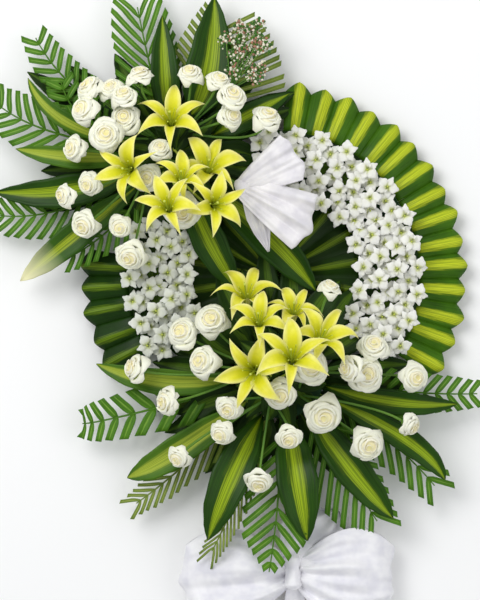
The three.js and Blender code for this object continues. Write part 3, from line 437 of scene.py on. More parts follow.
class Builder:
    """One piece under construction: a bmesh in millimetres, with a UV map and its finishes."""

    def __init__(self, name: str, *finishes: Finish) -> None:
        """Starts an empty piece with the finishes that its parts pick from by number."""
        self.name = name
        self.finishes = finishes
        self.mesh = bmesh.new()
        self.uv = self.mesh.loops.layers.uv.new("UVMap")

    def sheet(self, across: int, along: int, shape: Shape, thick: float = 0.0,
              finish: int = 0, weld: bool = False, shift: float = 0.0) -> None:
        """Adds a curved sheet, made from a grid that is moved into shape.

        Args:
            across: faces from u = 0 to 1.
            along: faces from v = 0 to 1.
            shape: the place in millimetres of each (u, v).
            thick: the sheet's thickness in millimetres, or 0 for a bare surface.
            finish: which of the piece's finishes it takes.
            weld: True where the u = 0 and u = 1 edges meet, as on a tube.
            shift: how far its pattern is moved across it, so that no two leaves look alike.
        """
        made = bmesh.ops.create_grid(self.mesh, x_segments=across, y_segments=along, size=0.5)
        verts = made["verts"]
        faces = list(dict.fromkeys(face for vert in verts for face in vert.link_faces))
        for face in faces:
            face.material_index = finish
            face.smooth = True
            for loop in face.loops:
                loop[self.uv].uv = (loop.vert.co.x + 0.5 + shift, loop.vert.co.y + 0.5)
        for vert in verts:
            vert.co = shape(vert.co.x + 0.5, vert.co.y + 0.5)
        if weld:
            bmesh.ops.remove_doubles(self.mesh, verts=verts, dist=0.02)
        if thick > 0:
            bmesh.ops.solidify(self.mesh, geom=faces, thickness=thick)

    def tube(self, path: Callable[[float], Vector], radius: Callable[[float], float],
             sides: int = 6, steps: int = 8, finish: int = 0) -> None:
        """Adds a round stem along a path.

        Args:
            path: the centre line in millimetres, from 0 to 1.
            radius: the stem's radius in millimetres along it.
            sides: faces round the stem.
            steps: faces along it.
            finish: which of the piece's finishes it takes.
        """
        stations = []
        side = None
        for k in range(steps + 1):
            t = k / steps
            ahead = (path(min(1.0, t + 0.02)) - path(max(0.0, t - 0.02))).normalized()
            side = frame_of(ahead)[0] if side is None else (side - ahead * side.dot(ahead))
            side.normalize()
            stations.append((path(t), side.copy(), ahead.cross(side)))

        def shape(u: float, v: float) -> Vector:
            """Wraps the grid round the path's stations."""
            centre, first, second = stations[round(v * steps)]
            turn = 2 * math.pi * u
            size = radius(v)
            return centre + first * (size * math.cos(turn)) + second * (size * math.sin(turn))

        self.sheet(sides, steps, shape, finish=finish, weld=True)

    def ball(self, centre: Vector, size: Vector, finish: int = 0) -> None:
        """Adds a small rounded body, such as a bud or a stigma."""
        made = bmesh.ops.create_icosphere(self.mesh, subdivisions=1, radius=1.0, matrix=(
            Matrix.Translation(centre) @ Matrix.Diagonal((*size, 1.0))))
        for face in {face for vert in made["verts"] for face in vert.link_faces}:
            face.material_index = finish
            face.smooth = True

    def finish(self, slot: str, *replaced: str) -> bpy.types.Object:
        """Turns the bmesh into a piece in metres that rides on the root.

        Args:
            slot: the record's material slot; not used.
            replaced: the CAD nodes that the piece stands for.

        Returns:
            The new object.
        """
        bmesh.ops.transform(self.mesh, matrix=Matrix.Scale(MM, 4), verts=self.mesh.verts)
        mesh = bpy.data.meshes.new(self.name)
        self.mesh.to_mesh(mesh)
        self.mesh.free()
        for finish in self.finishes:
            mesh.materials.append(finish.material())
        piece = bpy.data.objects.new(self.name, mesh)
        bpy.context.scene.collection.objects.link(piece)
        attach(piece, "root")
        if replaced:
            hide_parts(*replaced)
        LOG.info("%s: %d faces", self.name, len(mesh.polygons))
        return piece


class NodeReader:
    """Reads heights from a CAD node's own points, which the frame holds in metres."""

    def __init__(self, node: str) -> None:
        """Sorts the node's points by their place seen from above."""
        points = [vert.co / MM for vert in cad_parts[node].data.vertices]
        self.points = points
        self.flat = KDTree(len(points))
        for index, point in enumerate(points):
            self.flat.insert((point.x, point.y, 0.0), index)
        self.flat.balance()
        self.solid = KDTree(len(points))
        for index, point in enumerate(points):
            self.solid.insert(point, index)
        self.solid.balance()

    def height_near(self, place: Vector) -> float:
        """Returns the height in millimetres of the node's point nearest to a place from above."""
        return self.points[self.flat.find((place.x, place.y, 0.0))[1]].z

    def miss(self, place: Vector) -> float:
        """Returns how far a place is from the node's nearest point, in millimetres."""
        return self.solid.find(place)[2]


# The two sprays.


@dataclass(frozen=True)
class Spray:
    """A foam drum and the place of its axis on the wreath, in millimetres."""

    x: float
    y: float
    drum_radius: float = 85.0
    root_depth: float = 24.0
    shared_root: float = 44.0
    cover_height: float = 99.0

    def dome(self, x: float, y: float) -> float:
        """Returns the height of the spray's dome over a place."""
        away = math.hypot(x - self.x, y - self.y) / 300.0
        return 128.0 + 70.0 * max(0.0, 1.0 - away * away)


UPPER = Spray(-200.0, 240.0)
LOWER = Spray(16.0, -200.0)
LIFT_STEP = 4.0
STALK_RADIUS = 3.4


@dataclass
class Bend:
    """A curve from a start to an end, drawn towards a middle point, in millimetres."""

    start: Vector
    middle: Vector
    end: Vector

    def point(self, t: float) -> Vector:
        """Returns the point a share t along the curve."""
        return self.start * (1 - t) ** 2 + self.middle * (2 * t * (1 - t)) + self.end * t * t

    def ahead(self, t: float) -> Vector:
        """Returns the unit direction of the curve at t."""
        return ((self.middle - self.start) * (1 - t) + (self.end - self.middle) * t).normalized()

    def side(self, t: float) -> Vector:
        """Returns the level unit vector to the left of the curve at t."""
        return UP.cross(self.ahead(t)).normalized()

    def length(self) -> float:
        """Returns the curve's length in millimetres."""
        stations = [self.point(k / 24) for k in range(25)]
        return sum((b - a).length for a, b in zip(stations, stations[1:]))


@dataclass
class LeafPath:
    """A leaf's way out of its drum: a straight stalk, then a bend to its tip."""

    spray: Spray
    via: tuple[float, float]
    tip: tuple[float, float]
    root_height: float
    via_height: float
    tip_height: float
    shared: float | None = None

    def __post_init__(self) -> None:
        """Works out the root, the exit and the bend."""
        centre = Vector((self.spray.x, self.spray.y, self.root_height))
        out = Vector((self.via[0] - centre.x, self.via[1] - centre.y, 0.0)).normalized()
        self.exit = centre + out * (self.spray.drum_radius + 3.0)
        self.root = centre + out * (self.spray.drum_radius - self.spray.root_depth)
        if self.shared is not None:
            self.root = centre + polar(self.spray.shared_root, self.shared, 0.0)
        end = Vector((*self.tip, self.tip_height))
        middle = Vector((*self.via, self.via_height)) * 2.0 - self.exit * 0.5 - end * 0.5
        self.bend = Bend(self.exit, middle, end)

    def raised(self, node: str) -> "LeafPath":
        """Returns this path lifted to where its CAD node's tip lies."""
        found = NodeReader(node).height_near(self.bend.end)
        lift = max(0.0, LIFT_STEP * round((found - self.tip_height) / LIFT_STEP))
        return LeafPath(self.spray, self.via, self.tip, self.root_height,
                        self.via_height + lift, self.tip_height + lift, self.shared)


@dataclass
class Outline:
    """A broad leaf's width along its length, with its trough and rippled edge."""

    width: float
    trough: float = 0.13
    ripple: float = 1.5
    thick: float = 0.8
    shares: tuple[tuple[float, float], ...] = (
        (0.0, 0.08), (0.08, 0.4), (0.26, 0.86), (0.5, 1.0), (0.74, 0.8), (0.91, 0.42), (1.0, 0.03))

    def share(self, t: float) -> float:
        """Returns the blade's width at t as a share of its widest."""
        for (low, first), (high, second) in zip(self.shares, self.shares[1:]):
            if t <= high:
                step = (t - low) / (high - low)
                return blend(first, second, (eased(step) + step) / 2)
        return self.shares[-1][1]

    def lay(self, builder: Builder, bend: Bend) -> None:
        """Adds the blade along a bend.

        Args:
            builder: the piece that it joins.
            bend: the line of its midrib.
        """
        sway = bend.end.x

        def blade(u: float, v: float) -> Vector:
            """Bends the grid along the path, with a trough and a slightly rippled edge."""
            width = self.width * self.share(v)
            off = 2.0 * u - 1.0
            wave = self.ripple * off * off * math.sin(14.0 * v + 3.0 * off + sway)
            lift = self.trough * width * off * off + wave * self.share(v)
            crease = -0.9 * math.exp(-(off / 0.12) ** 2)
            return bend.point(v) + bend.side(v) * (off * width / 2.0) + UP * (lift + crease)

        builder.sheet(8, 20, blade, self.thick, shift=0.06 * math.sin(7.0 * sway))


@dataclass
class Blade:
    """One broad leaf on a flat stalk."""

    spray: Spray
    via: tuple[float, float]
    tip: tuple[float, float]
    width: float
    root: float
    shared: float | None = None

    def grow(self, builder: Builder, node: str) -> None:
        """Adds the blade and its stalk to a piece.

        Args:
            builder: the piece that it joins.
            node: the CAD node whose height it takes.
        """
        path = LeafPath(self.spray, self.via, self.tip, self.root, self.root + 14.0,
                        self.root - 4.0, self.shared).raised(node)
        Outline(self.width).lay(builder, path.bend)
        builder.tube(lambda t: path.root.lerp(path.exit, t), lambda t: STALK_RADIUS, 6, 2)
        builder.tube(lambda t: path.bend.point(0.3 * t) - UP * blend(4.2, 2.4, t),
                     lambda t: blend(3.2, 1.0, t), 6, 4)


@dataclass
class Greenery:
    """The leaves of the back layer, darkened with painted shade, which hide a drum and the gaps
    round it.
    """

    name: str
    spray: Spray
    outward: tuple[float, float]
    inward: tuple[float, float]
    reach: float
    inner_reach: float
    long_leaves: tuple[tuple[float, float, float], ...]
    step: float = 16.0
    outer_height: float = 44.0
    inner_height: float = 60.0
    start: float = 80.0
    covers: int = 12

    def build(self) -> None:
        """Makes the leaves round the drum and the small ones over its top."""
        # The dark shaded-leaf finish is painted shade over the whole back layer.
        builder = Builder(self.name, Finish.SHADED)
        chance = Random(self.name)
        centre = Vector((self.spray.x, self.spray.y, 0.0))
        for (start, end), height, far in ((self.outward, self.outer_height, self.reach),
                                          (self.inward, self.inner_height, self.inner_reach)):
            for k in range(round((end - start) / self.step) + 1):
                bearing = start + self.step * k + chance.uniform(-4, 4)
                reach = far * chance.uniform(0.88, 1.12)
                level = height + 3.0 * (k % 3)
                bend = Bend(centre + polar(self.start, bearing, level),
                            centre + polar(reach * 0.72, bearing + 4, level + 12.0),
                            centre + polar(reach, bearing + chance.uniform(-8, 8), level - 12.0))
                Outline(chance.uniform(48, 62)).lay(builder, bend)
        for bearing, reach, height in self.long_leaves:
            bend = Bend(centre + polar(self.start, bearing, height),
                        centre + polar(reach * 0.6, bearing + 2, height + 8.0),
                        centre + polar(reach, bearing, height - 12.0))
            Outline(52.0).lay(builder, bend)
        for k in range(self.covers):
            bearing = 360.0 / self.covers * k + chance.uniform(-8, 8)
            level = self.spray.cover_height + 3.0 * (k % 3)
            bend = Bend(centre + polar(6.0, bearing, level),
                        centre + polar(48.0, bearing + 10, level + 14.0),
                        centre + polar(chance.uniform(88, 112), bearing + 18, level - 4.0))
            Outline(chance.uniform(38, 48), 0.2).lay(builder, bend)
        builder.finish("broad_leaf")


# Each long leaf is a bearing, a reach and a height.
BACK_LAYERS = (
    Greenery("greenery_upper", UPPER, (58.0, 218.0), (234.0, 394.0), 196.0, 176.0, (
        (22, 258, 52), (28, 276, 52), (44, 230, 52), (160, 262, 38), (150, 342, 38),
        (139, 280, 38), (120, 240, 38), (186, 270, 36), (202, 290, 36))),
    Greenery("greenery_lower", LOWER, (170.0, 362.0), (26.0, 154.0), 200.0, 222.0, (
        (174, 262, 52), (5, 262, 52), (214, 250, 52), (330, 250, 52), (196, 260, 40),
        (232, 250, 38), (300, 250, 38), (163, 262, 50), (154, 238, 54), (206, 262, 40),
        (356, 262, 50), (98, 268, 56), (84, 250, 56))),
)


@dataclass
class Frond:
    """A palm frond whose leaflets are trimmed square."""

    spray: Spray
    via: tuple[float, float]
    tip: tuple[float, float]
    length: float
    splay: float
    pairs: int
    finer: float = 1.35
    pointed: bool = False
    right_share: float = 1.0
    start: float = 0.1

    def grow(self, builder: Builder, node: str) -> None:
        """Adds the rib and its leaflets, a few more of them than on the solid.

        Args:
            builder: the piece that it joins.
            node: the CAD node whose height it takes.
        """
        path = LeafPath(self.spray, self.via, self.tip, 46.0, 52.0, 50.0).raised(node)
        bend = path.bend
        reach = bend.length()
        count = round(self.pairs * self.finer)
        pitch = reach * (1 - self.start) / count
        lean = math.radians(self.splay)
        width = 0.63 * pitch * math.sin(lean)
        chance = Random(node)

        def on_leaf(along: float, across: float) -> Vector:
            """Returns the place that lies along and across the rib."""
            t = min(1.0, max(0.0, along / reach))
            return (bend.point(t) + bend.side(t) * across + bend.ahead(t) * (along - t * reach)
                    + UP * (0.05 * abs(across)))

        for sign in (1.0, -1.0):
            for k in range(count):
                foot = reach * self.start + pitch * (k + 0.3)
                size = self.length * (1.0 - 0.45 * (k / count) ** 2)
                if self.pointed:
                    size = min(self.length, 0.62 * (reach + 14.0 - foot))
                if sign < 0:
                    size *= blend(self.right_share, 1.0, k / count)
                turn = lean * (1.0 - 0.12 * (k / count)) + chance.uniform(-0.03, 0.03)
                droop = chance.uniform(0.02, 0.07) * size

                def leaflet(u: float, v: float) -> Vector:
                    """Lays the grid out along one leaflet, folded along its middle."""
                    off = 2.0 * u - 1.0
                    full = width * (0.45 + 0.55 * eased(v / 0.25))
                    step = v * size - v * 0.25 * full * off * sign
                    along = foot + step * math.cos(turn) - sign * off * full / 2 * math.sin(turn)
                    across = step * math.sin(turn) + sign * off * full / 2 * math.cos(turn)
                    fold = 0.2 * full * abs(off) - droop * v * v
                    return on_leaf(along, sign * max(across, 0.6)) + UP * fold

                builder.sheet(4, 6, leaflet, 0.6)
        builder.tube(lambda t: path.root.lerp(path.exit, t), lambda t: STALK_RADIUS, 6, 2)
        builder.tube(bend.point, lambda t: blend(3.0, 1.2, t), 6, 14)


@dataclass
class Bloom:
    """One flower: the place of its head, its radius, and how far and where it leans."""

    x: float
    y: float
    radius: float
    lean: float
    bearing: float
    roll: float | None = None

    def turned(self) -> float:
        """Returns how the head is turned about its axis, in degrees."""
        return 17.0 * self.x if self.roll is None else self.roll


class Head:
    """A flower head's own frame: distances, bearings and heights about its axis."""

    def __init__(self, centre: Vector, axis: Vector, radius: float, roll: float) -> None:
        """Keeps the head's centre, axis, radius and turn."""
        self.centre, self.axis, self.radius, self.roll = centre, axis, radius, roll
        self.side, self.other = frame_of(axis)

    def at(self, distance: float, bearing: float, height: float) -> Vector:
        """Finds a point about the axis.

        Args:
            distance: how far from the axis, in the head's radii.
            bearing: the angle about the axis, in degrees.
            height: how far along the axis, in the head's radii.

        Returns:
            The point in millimetres.
        """
        turn = math.radians(bearing)
        size = self.radius
        return (self.centre + self.side * (size * distance * math.cos(turn))
                + self.other * (size * distance * math.sin(turn)) + self.axis * (size * height))


@dataclass(frozen=True)
class Whorl:
    """One ring of a rose's petals, in the head's radii."""

    count: int
    rim: float
    height: float
    roll_back: float
    wrap: float
    turn: float


@dataclass
class Rose:
    """A rose head of overlapping whorls that open outwards, with a green calyx."""

    whorls: tuple[Whorl, ...] = (
        Whorl(4, 1.0, -0.02, 0.3, 116.0, 0.0), Whorl(4, 0.84, 0.18, 0.24, 122.0, 43.0),
        Whorl(3, 0.66, 0.33, 0.18, 150.0, 12.0), Whorl(3, 0.45, 0.43, 0.12, 150.0, 70.0),
        Whorl(2, 0.24, 0.47, 0.05, 220.0, 20.0))
    heart_from: int = 3
    wall_share: float = 0.66
    foot: float = -0.66
    sepals: int = 5
    key_height: float = 0.04

    def key(self, head: Head) -> Vector:
        """Returns the tip of the CAD head's first outer petal."""
        return head.at(1.0, head.roll, self.key_height)

    def grow(self, builder: Builder, head: Head, chance: Random) -> None:
        """Adds the petals, the calyx and its sepals.

        Args:
            builder: the piece that they join; its finishes are petal, stem and heart.
            head: the frame of the flower head.
            chance: the draws that make each petal a little different.
        """
        for number, whorl in enumerate(self.whorls):
            drift = 0.1 * (1.0 - whorl.rim) * head.radius
            middle = head.centre + head.side * chance.uniform(-drift, drift) * 2.0
            turned = Head(middle, head.axis, head.radius, head.roll)
            for k in range(whorl.count):
                bearing = head.roll + whorl.turn + 360.0 * k / whorl.count + chance.uniform(-8, 8)
                rim = whorl.rim * chance.uniform(0.9, 1.06)
                top = whorl.height + chance.uniform(-0.07, 0.05)
                curl = whorl.roll_back * chance.uniform(0.5, 1.6)
                sway = chance.uniform(0, 6.28)
                wall = rim * self.wall_share
                point = chance.uniform(0.02, 0.14)

                def petal(u: float, v: float) -> Vector:
                    """Raises the grid as a cup round the heart and flares its rim outwards."""
                    off = 2.0 * u - 1.0
                    reach = v * (1.0 - 0.2 * off * off + point * math.exp(-(off / 0.25) ** 2))
                    cup = math.sin(min(1.0, reach / 0.5) * math.pi / 2)
                    flare = max(0.0, (reach - 0.3) / 0.7) ** 1.8
                    distance = 0.05 + (wall - 0.05) * cup + (rim - wall) * flare
                    climb = 1.0 - min(1.0, reach / 0.78)
                    over = max(0.0, (reach - 0.72) / 0.28)
                    height = top - (top - self.foot) * climb * climb - curl * over * over
                    height += 0.04 * math.sin(4.0 * off + sway) * reach * reach
                    spread = whorl.wrap * (0.3 + 0.7 * math.sin(min(1.0, reach) * math.pi / 2))
                    return turned.at(distance + 0.05 * off * reach, bearing + off * spread / 2.0,
                                     height)

                builder.sheet(7, 8, petal, 0.5, 2 if number >= self.heart_from else 0)
        # The closed heart under the rims keeps the gaps between the petals shallow and soft.
        builder.sheet(18, 7, lambda u, v: head.at(
            0.01 + 0.66 * v, 360.0 * u, 0.4 - 0.4 * v * v), 0.0, 2, True)
        builder.sheet(8, 4, lambda u, v: head.at(
            0.07 + 0.2 * math.sin(v * math.pi * 0.75), 360.0 * u, -0.86 + 0.3 * v), 0.0, 1, True)
        for k in range(self.sepals):
            builder.sheet(2, 5, lambda u, v, k=k: head.at(
                0.2 + 0.5 * v,
                head.roll + 360.0 / self.sepals * k + (u - 0.5) * 30.0 * (1 - v) + 20.0,
                self.foot + 0.14 * math.sin(v * 2.4)), 0.4, 1)


@dataclass
class Lily:
    """A lily head: three broad and three narrow tepals that bend back, with stamens."""

    broad_width: float = 0.5
    narrow_width: float = 0.35
    # The line of a tepal, as distances from the axis and heights, in the head's radii.
    line: tuple[tuple[float, float], ...] = (
        (0.05, -0.82), (0.16, -0.05), (0.68, 0.38), (1.12, -0.2))
    key_height: float = -0.2

    def key(self, head: Head) -> Vector:
        """Returns the tip of the CAD head's first tepal."""
        return head.at(1.0, head.roll, self.key_height)

    def grow(self, builder: Builder, head: Head, chance: Random) -> None:
        """Adds the tepals, the filaments and the pistil.

        Args:
            builder: the piece that they join; its finishes are tepal and stamen.
            head: the frame of the flower head.
            chance: the draws that make each tepal a little different.
        """
        for k in range(6):
            broad = k % 2 == 1
            bearing = head.roll + 60.0 * k + chance.uniform(-4, 4)
            width = (self.broad_width if broad else self.narrow_width) * chance.uniform(0.93, 1.05)
            lower = 0.0 if broad else -0.05
            curl = chance.uniform(-0.14, 0.1)
            twist = chance.uniform(-0.16, 0.16)
            veer = chance.uniform(-10, 10)
            sway = chance.uniform(0, 6.28)

            def tepal(u: float, v: float) -> Vector:
                """Bends the grid out of the throat, ruffled at its edges."""
                off = 2.0 * u - 1.0
                shares = ((1 - v) ** 3, 3 * v * (1 - v) ** 2, 3 * v * v * (1 - v), v ** 3)
                distance = sum(w * e[0] for w, e in zip(shares, self.line))
                height = sum(w * e[1] for w, e in zip(shares, self.line)) + curl * v * v
                swell = max(0.0, math.sin(math.pi * min(1.0, 0.07 + 0.93 * v) ** 0.88)) ** 1.05
                half = width / 2.0 * max(0.1 * (1 - v), swell)
                ruffle = 0.035 * off * off * math.sin(11.0 * v + sway + off) * swell
                trough = 0.1 * off * off * swell - 0.025 * math.exp(-(off / 0.2) ** 2) * (1 - v)
                bend = math.degrees(math.atan2(off * half, max(distance, 0.05)))
                return head.at(math.hypot(distance, off * half), bearing + bend + veer * v * v,
                               height + lower + ruffle + trough + twist * off * v * swell)

            builder.sheet(8, 14, tepal, 0.8)
        for k in range(6):
            bearing = head.roll + 60.0 * k + 20.0
            builder.tube(lambda t, b=bearing: head.at(0.03 + 0.2 * t * t, b, -0.75 + 0.72 * t),
                         lambda t: blend(0.9, 0.6, t), 5, 5, 1)
            builder.ball(head.at(0.24, bearing, -0.02), Vector((1.6, 1.6, 3.0)), 1)
        builder.tube(lambda t: head.at(0.04 * t, head.roll + 80.0, -0.78 + 0.96 * t),
                     lambda t: blend(1.8, 1.3, t), 6, 5, 1)
        builder.ball(head.at(0.04, head.roll + 80.0, 0.19), Vector((2.8, 2.8, 2.2)), 1)


@dataclass
class BloomNode:
    """The blooms of one CAD node, their stems and their wired peg."""

    node: str
    spray: Spray
    peg: tuple[float, float]
    blooms: tuple[Bloom, ...]
    peg_radius: float = 8.0
    peg_bottom: float = 64.0
    peg_top: float = 102.0
    stem_radius: float = 2.6
    sways: tuple[float, ...] = (0.0, 14.0, -14.0, 28.0, -28.0, 42.0, -42.0)

    def stem(self, base: Vector, axis: Vector, sway: float) -> Callable[[float], Vector]:
        """Finds a stem's path from the peg to the foot of a bloom.

        Args:
            base: the foot of the bloom.
            axis: the bloom's axis, which the stem meets.
            sway: how far the stem bows sideways, in millimetres.

        Returns:
            The path, as a point in millimetres for each share from 0 to 1.
        """
        centre = Vector((self.spray.x, self.spray.y, 0.0))
        centre += polar(self.peg[1], self.peg[0], self.peg_top - 3.0)
        out = base - centre
        out.z = 0.0
        out.normalize()
        start = centre + out * (self.peg_radius - self.stem_radius - 1.0)
        reach = (base - start).length * 0.35
        bow = UP.cross(out) * sway
        second = start + UP * 26.0 + out * 8.0 + bow
        third = base - axis * reach + bow
        return lambda t: (start * (1 - t) ** 3 + second * (3 * t * (1 - t) ** 2)
                          + third * (3 * t * t * (1 - t)) + base * t ** 3)

    def build(self, kind: Rose | Lily, slot: str, finishes: tuple[Finish, ...]) -> None:
        """Makes the node's blooms at the heights that the CAD node gives.

        Args:
            kind: the flower that is grown.
            slot: the record's material slot.
            finishes: the piece's finishes, of which the second is the stems'.
        """
        reader = NodeReader(self.node)
        builder = Builder(f"{self.node}_detailed", *finishes)
        chance = Random(self.node)
        for bloom in self.blooms:
            axis = leaning(bloom.lean, bloom.bearing)
            flat = Head(Vector((bloom.x, bloom.y, 0.0)), axis, bloom.radius, bloom.turned())
            mark = kind.key(flat)
            height = reader.height_near(mark) - mark.z
            level = self.spray.dome(bloom.x, bloom.y)
            height = level + max(0.0, LIFT_STEP * round((height - level) / LIFT_STEP))
            centre = Vector((bloom.x, bloom.y, height))
            head = Head(centre, axis, bloom.radius, bloom.turned())
            base = centre - axis * (bloom.radius * 0.86)
            paths = [self.stem(base, axis, sway) for sway in self.sways]
            path = min(paths, key=lambda way: reader.miss(way(2 / 3)) + reader.miss(way(1 / 3)))
            kind.grow(builder, head, chance)
            builder.tube(path, lambda t: blend(2.2, 2.6, t), 7, 12, 1)
        foot = Vector((self.spray.x, self.spray.y, 0.0)) + polar(self.peg[1], self.peg[0], 0.0)
        builder.tube(lambda t: foot + UP * blend(self.peg_bottom, self.peg_top, t),
                     lambda t: self.peg_radius * (1.0 if 0.01 < t < 0.99 else 0.6), 10, 6, 1)
        builder.finish(slot, self.node)


def blooms(*rows: tuple[float, ...]) -> tuple[Bloom, ...]:
    """Returns a bloom for each row of place, radius, lean and bearing."""
    return tuple(Bloom(*row) for row in rows)


LILIES = (
    BloomNode("lilies_upper_a", UPPER, (110, 20), blooms(
        (-204, 318, 68, 26, 90, 95), (-128, 224, 67, 30, 80, 40), (-182, 200, 54, 30, 85, 88))),
    BloomNode("lilies_upper_b", UPPER, (240, 24), blooms(
        (-296, 212, 63, 20, 170, 60), (-212, 142, 61, 22, 110, 90), (-112, 142, 61, 14, 20, 25))),
    BloomNode("lilies_lower_a", LOWER, (60, 24), blooms(
        (-56, -24, 65, 42, 95, 60), (40, -60, 54, 44, 85, 60), (98, -112, 67, 36, 65, 30))),
    BloomNode("lilies_lower_b", LOWER, (210, 22), blooms(
        (-30, -80, 59, 34, 90, 90), (34, -150, 74, 24, 90, 95), (-46, -190, 72, 10, 200, 100))),
)

ROSES = (
    BloomNode("roses_upper_heart", UPPER, (330, 34), blooms(
        (-226, 252, 25, 28, 90), (-252, 192, 31, 6, 180), (-180, 126, 38, 10, 270))),
    BloomNode("roses_lower_right", LOWER, (310, 47), blooms(
        (72, -178, 40, 10, 0), (10, -236, 33, 12, 260), (98, -278, 38, 14, 290),
        (186, -336, 36, 22, 310), (272, -298, 28, 64, 330))),
    BloomNode("roses_upper_left", UPPER, (200, 47), blooms(
        (-398, 252, 30, 42, 175), (-368, 182, 27, 30, 200), (-418, 158, 27, 50, 190),
        (-378, 100, 31, 34, 215), (-306, 96, 25, 20, 240), (-286, 38, 33, 30, 250))),
    BloomNode("roses_upper_corner", UPPER, (135, 47), blooms(
        (-368, 374, 32, 58, 135), (-378, 328, 32, 40, 155), (-324, 372, 27, 40, 120),
        (-298, 356, 29, 40, 100), (-296, 312, 33, 18, 135), (-332, 278, 36, 6, 135))),
    BloomNode("roses_upper_top", UPPER, (70, 47), blooms(
        (-266, 398, 30, 62, 95), (-168, 402, 27, 42, 95), (-110, 388, 27, 45, 70),
        (-82, 356, 31, 36, 60), (-84, 316, 27, 30, 30), (-14, 316, 32, 48, 70))),
    BloomNode("roses_lower_left", LOWER, (165, 47), blooms(
        (-184, -112, 34, 24, 140), (-126, -88, 36, 20, 110), (-144, -170, 34, 34, 160),
        (-278, -184, 32, 60, 165), (-216, -250, 30, 48, 185))),
    BloomNode("roses_lower_foot", LOWER, (240, 47), blooms(
        (-90, -264, 28, 26, 240), (-106, -314, 27, 32, 235), (-192, -362, 26, 42, 225),
        (-32, -410, 30, 40, 262), (30, -322, 29, 28, 270))),
    BloomNode("roses_lower_far_right", LOWER, (10, 47), blooms(
        (182, -196, 38, 14, 350), (196, -138, 32, 30, 80), (280, -202, 31, 20, 350),
        (146, -184, 30, 46, 190), (110, -22, 24, 56, 70))),
)

FRONDS = {
    "palm_top": Frond(UPPER, (-246, 410), (-274, 540), 104, 42, 8, 1.1),
    "palm_corner": Frond(UPPER, (-400, 378), (-478, 478), 62, 48, 8, 1.25),
    "palm_shoulder": Frond(UPPER, (-376, 308), (-428, 392), 56, 58, 6),
    "palm_left_upper": Frond(UPPER, (-450, 290), (-556, 346), 84, 46, 7),
    "palm_left_lower": Frond(UPPER, (-424, 134), (-556, 122), 76, 47, 8),
    "palm_under_rose": Frond(UPPER, (-330, 92), (-412, 36), 62, 42, 6),
    "palm_crown": Frond(UPPER, (-126, 410), (-98, 506), 104, 56, 8, right_share=1.7),
    "palm_right": Frond(LOWER, (266, -232), (408, -236), 58, 52, 8),
    "palm_right_low": Frond(LOWER, (216, -318), (322, -420), 86, 40, 7),
    "palm_low_right": Frond(LOWER, (130, -372), (206, -490), 96, 42, 7, 1.3, right_share=1.5),
    "palm_foot": Frond(LOWER, (8, -440), (-10, -590), 96, 46, 9, 1.1, pointed=True),
    "palm_foot_left": Frond(LOWER, (-74, -440), (-124, -548), 86, 21, 8, 1.6),
    "palm_left_fan": Frond(LOWER, (-180, -380), (-276, -456), 76, 29, 7, 1.6),
    "palm_left_dark": Frond(LOWER, (-290, -278), (-384, -296), 60, 56, 6),
}
OLIVE_FRONDS = {"palm_crown", "palm_foot_left", "palm_left_fan"}

LEAVES = {
    "leaf_tall": (Blade(UPPER, (-132, 412), (-120, 560), 92, 70),),
    "leaf_upright": (Blade(UPPER, (-218, 396), (-224, 522), 60, 72),),
    "leaf_left_long": (Blade(UPPER, (-408, 170), (-560, 168), 68, 70),),
    "leaf_shoot_shoulder": (Blade(UPPER, (-400, 236), (-516, 254), 46, 74, 171),
                            Blade(UPPER, (-420, 312), (-492, 396), 34, 74, 171)),
    "leaf_cream_tip": (Blade(UPPER, (-404, 74), (-508, -10), 60, 70),),
    "leaf_centre_right": (Blade(UPPER, (-10, 74), (84, -30), 76, 76),),
    "leaf_centre_left": (Blade(UPPER, (-128, 66), (-70, -30), 70, 72),),
    "leaf_top_right": (Blade(UPPER, (-52, 318), (32, 366), 50, 72),),
    "leaf_right": (Blade(LOWER, (236, -252), (368, -256), 52, 72),),
    "leaf_right_low": (Blade(LOWER, (262, -326), (342, -408), 52, 74),),
    "leaf_low_right": (Blade(LOWER, (156, -386), (238, -484), 72, 72),),
    "leaf_low": (Blade(LOWER, (46, -408), (66, -528), 84, 72),),
    "leaf_low_left": (Blade(LOWER, (-86, -400), (-132, -526), 80, 72),),
    "leaf_shoot_left": (Blade(LOWER, (-196, -352), (-294, -404), 64, 72, 199),
                        Blade(LOWER, (-222, -212), (-356, -176), 54, 72, 199)),
}
LEAF_FINISHES = {"leaf_cream_tip": Finish.CREAM_TIP, "leaf_shoot_left": Finish.PALE,
                 "leaf_shoot_shoulder": Finish.PALE}


def build_foliage() -> None:
    """Makes every palm frond and broad leaf in place of its CAD node."""
    for node, frond in FRONDS.items():
        finish = Finish.OLIVE if node in OLIVE_FRONDS else Finish.PALM
        builder = Builder(f"{node}_detailed", finish)
        frond.grow(builder, node)
        builder.finish("palm_frond", node)
    for node, blades in LEAVES.items():
        builder = Builder(f"{node}_detailed", LEAF_FINISHES.get(node, Finish.BROAD))
        for blade in blades:
            blade.grow(builder, node)
        builder.finish("broad_leaf", node)


# The ring.


